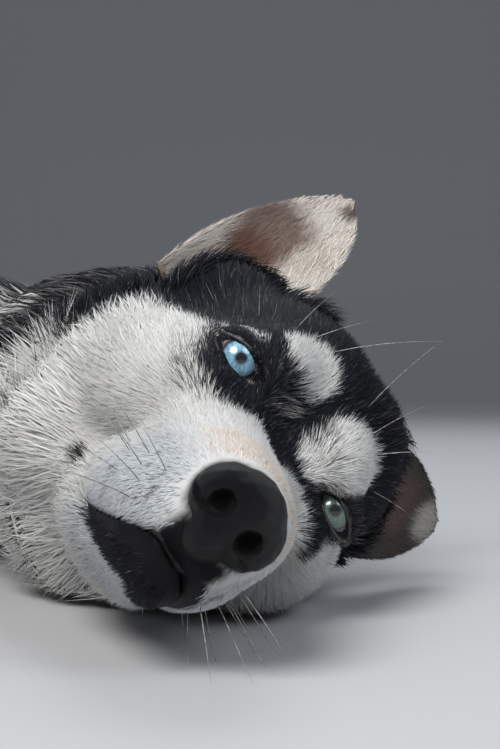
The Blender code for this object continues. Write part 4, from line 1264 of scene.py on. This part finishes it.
for name, (start, along, top) in PAW_PLACES.items():
    along = Vector(along).normalized()
    top = (Vector(top) - along * Vector(top).dot(along)).normalized()
    turn = Matrix((along.cross(top), along, top)).transposed().to_4x4()
    place = BODY_FRAME @ Matrix.Translation(start) @ turn
    claws, pads = bmesh.new(), bmesh.new()
    cushions = []
    for i, length in enumerate(TOE_LENGTHS):
        across, reach = (i - 1.5) * TOE_SPACING, TOE_REACH * length
        path = [place @ Vector((across * a, reach + f * length, u)) for a, f, u, r in CLAW]
        tube(claws, path, [r * MM for a, f, u, r in CLAW], sides=12)
        cushions.append(((across * 1.05, reach * 0.86, TOE_PAD_HEIGHT), TOE_PAD))
    cushions += [((x, y, SOLE_HEIGHT), (wide, 9, 5.2, 1)) for x, y, wide in SOLE_LOBES]
    for centre, size in cushions:
        shape = Matrix.Translation(centre) @ Matrix.Diagonal(size)
        bmesh.ops.create_icosphere(pads, subdivisions=3, radius=1, matrix=place @ shape)
    for bm in (claws, pads):
        for vertex in bm.verts:
            vertex.co.z = max(vertex.co.z, GROUND_GAP)
    finished(f"claws_{name}", claws, horn)
    finished(f"pads_{name}", pads, cushion)


# ---------------------------------------------------------------------------------------------
# The whiskers: long stiff hairs of pale and dark horn, rooted in the freckled rows on the muzzle
# and over the eyes. Each is a pointed tube that droops a little.

# Root, the way it points, and length, on the right half, in the head's frame
WHISKERS = (
    ((29, 27, -46), (0.9, -0.3, 0.05), 34), ((26, 54, -43), (0.95, 0.1, 0.05), 40),
    ((25, 52, -54), (0.9, 0.05, -0.35), 38), ((22, 74, -50), (0.85, 0.45, -0.1), 36),
    ((21, 80, -42), (0.85, 0.5, 0.1), 30), ((25, 21, -60), (0.85, -0.2, -0.4), 32),
    ((21, 55, -58), (0.8, 0.15, -0.5), 36), ((18, 75, -54), (0.75, 0.5, -0.35), 30),
    ((26, 40, -48), (0.95, -0.1, 0.0), 42), ((24, 64, -47), (0.92, 0.3, 0.0), 40),
    ((13, -25, 34), (-0.3, 0.3, 0.9), 42), ((22, -22, 30), (-0.1, 0.35, 0.9), 26),
    ((28, -20, 26), (0.3, 0.3, 0.85), 24), ((41, -28, 20), (0.8, 0.2, 0.5), 16),
)
MUZZLE_SHARE = 0.7
WHISKER_ROOT = 1.5 * MM
WHISKER_RADII = (0.2, 0.17, 0.13, 0.08, 0.02)
WHISKER_CLEARANCE = 0.6 * MM
DROOP = Vector((0, 0, -0.12))

whisker_horn = mottled(
    "whisker", (0.10, 0.09, 0.085), (0.45, 0.43, 0.41), 90, {"Roughness": 0.4}, **HORNY,
)
bm = bmesh.new()
for side in SIDES.values():
    for (x, y, z), aim, reach in WHISKERS:
        reach *= MUZZLE_SHARE if y > 0 else 1
        root = skull.tree.find_nearest(HEAD @ Vector((x * side, y, z)))[0]
        aim = (head_turn.to_3x3() @ Vector((aim[0] * side, aim[1], aim[2]))).normalized()
        path = [root - aim * WHISKER_ROOT]
        for t in (0.25, 0.5, 0.75, 1):
            path.append(root + (aim + DROOP * t) * t * reach * MM)
        for point in path:
            point.z = max(point.z, WHISKER_CLEARANCE)
        tube(bm, path, [radius * MM for radius in WHISKER_RADII], sides=6)
finished("whiskers", bm, whisker_horn)


# ---------------------------------------------------------------------------------------------
# The ears: thin upright cups of skin that grow out of the skull, with short velvet outside and
# soft pale hair inside, which in the left cup, skin and hair, is painted dark as painted shade.

EAR_GRAIN = 1.1 * MM
EAR_OPENING = {"right": (0.22, 0.80, 0.54), "left": (0.20, 0.62, 0.76)}
EAR_BASE = {"right": (52, -72, 25), "left": (-48, -69, 22)}
EAR_TIP = {"right": (55, -126, 91), "left": (-88, -120, 48)}
# Colour of the hair in each cup; the left cup's is painted dark, as painted shade
EAR_HAIR_AND_SHADE = {"right": (0.66, 0.61, 0.55), "left": (0.085, 0.075, 0.070)}
# Spots of other colour in the cup: centre in the head's frame, radius and colour
EAR_SPOTS = {
    "right": (
        ((59.5, -103, 46), 18, (0.20, 0.145, 0.125)), ((57, -94, 30), 13, (0.14, 0.075, 0.058)),
        ((46, -115, 82), 6, (0.13, 0.10, 0.09)), ((40, -93, 52), 9, (0.60, 0.54, 0.47)),
    ),
    "left": (
        ((-78, -109, 41), 10, (0.50, 0.47, 0.43)), ((-60, -90, 30), 14, (0.16, 0.11, 0.10)),
    ),
}
# Length of the hair and depth of the coat inside the cup and outside it
EAR_LENGTHS = (9, 7)
EAR_DEPTHS = (1.6, 1.0)
EAR_SKIN = (0.62, 0.52, 0.50)
EAR_DARK = 0.97


def ear_marked(ear):
    """Colours for roots on an ear: dark outside, its own tints inside, painted dark as painted
    shade in the left cup.
    """
    def colours(root, corners, shares, chance):
        count = len(root)
        dark = spread(ear.dark, corners, shares)
        light = spread(ear.tint, corners, shares) * chance.uniform(0.7, 1.25, (count, 1))
        return light * (1 - dark) + BLACK * 1.6 * chance.uniform(0.6, 1.8, (count, 1)) * dark
    return colours


for index, side in enumerate(SIDES):
    part = f"ear_{side}"
    ear = Skin((part,), EAR_GRAIN, 2, 4)
    bare = np.zeros(len(ear.points))
    opening = unit(np.array([EAR_OPENING[side]]) @ OUT_OF_HEAD)[0]
    base, tip = (np.array(HEAD @ Vector(place[side])) for place in (EAR_BASE, EAR_TIP))
    ear.lie = np.tile(unit((tip - base)[None])[0], (len(ear.points), 1))
    inner = soft((ear.normals @ opening - 0.1) * 10, 6)
    ear.length[:] = np.where(inner > 0.5, *EAR_LENGTHS) * MM
    ear.depth[:] = np.where(inner > 0.5, *EAR_DEPTHS) * MM
    ear.draw_in(0.2)
    ear.dark = (1 - inner)[:, None] * EAR_DARK
    ear.tint = np.tile(np.array(EAR_HAIR_AND_SHADE[side]), (len(ear.points), 1))
    at_head = in_head(ear.points)
    for centre, radius, colour in EAR_SPOTS[side]:
        away = np.linalg.norm(at_head - centre, axis=1)
        share = soft(radius - away, 0.8 * radius)[:, None]
        ear.tint = ear.tint * (1 - share) + np.array(colour) * share
    colours = BLACK * SKIN_BLACK * ear.dark + ear.tint * EAR_SKIN * (1 - ear.dark)
    unwrap = round_head(ear.points)
    shown = painted(f"{part}_skin", ear.points, ear.corners, colours, bare, unwrap, skin_leather)
    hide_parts(part)
    grow(
        f"{part}_hair", ear, 9000, bare + 1, 1, 0.6 * MM, 500 + index, ear_marked(ear),
        round_head, stray=0.22,
    )
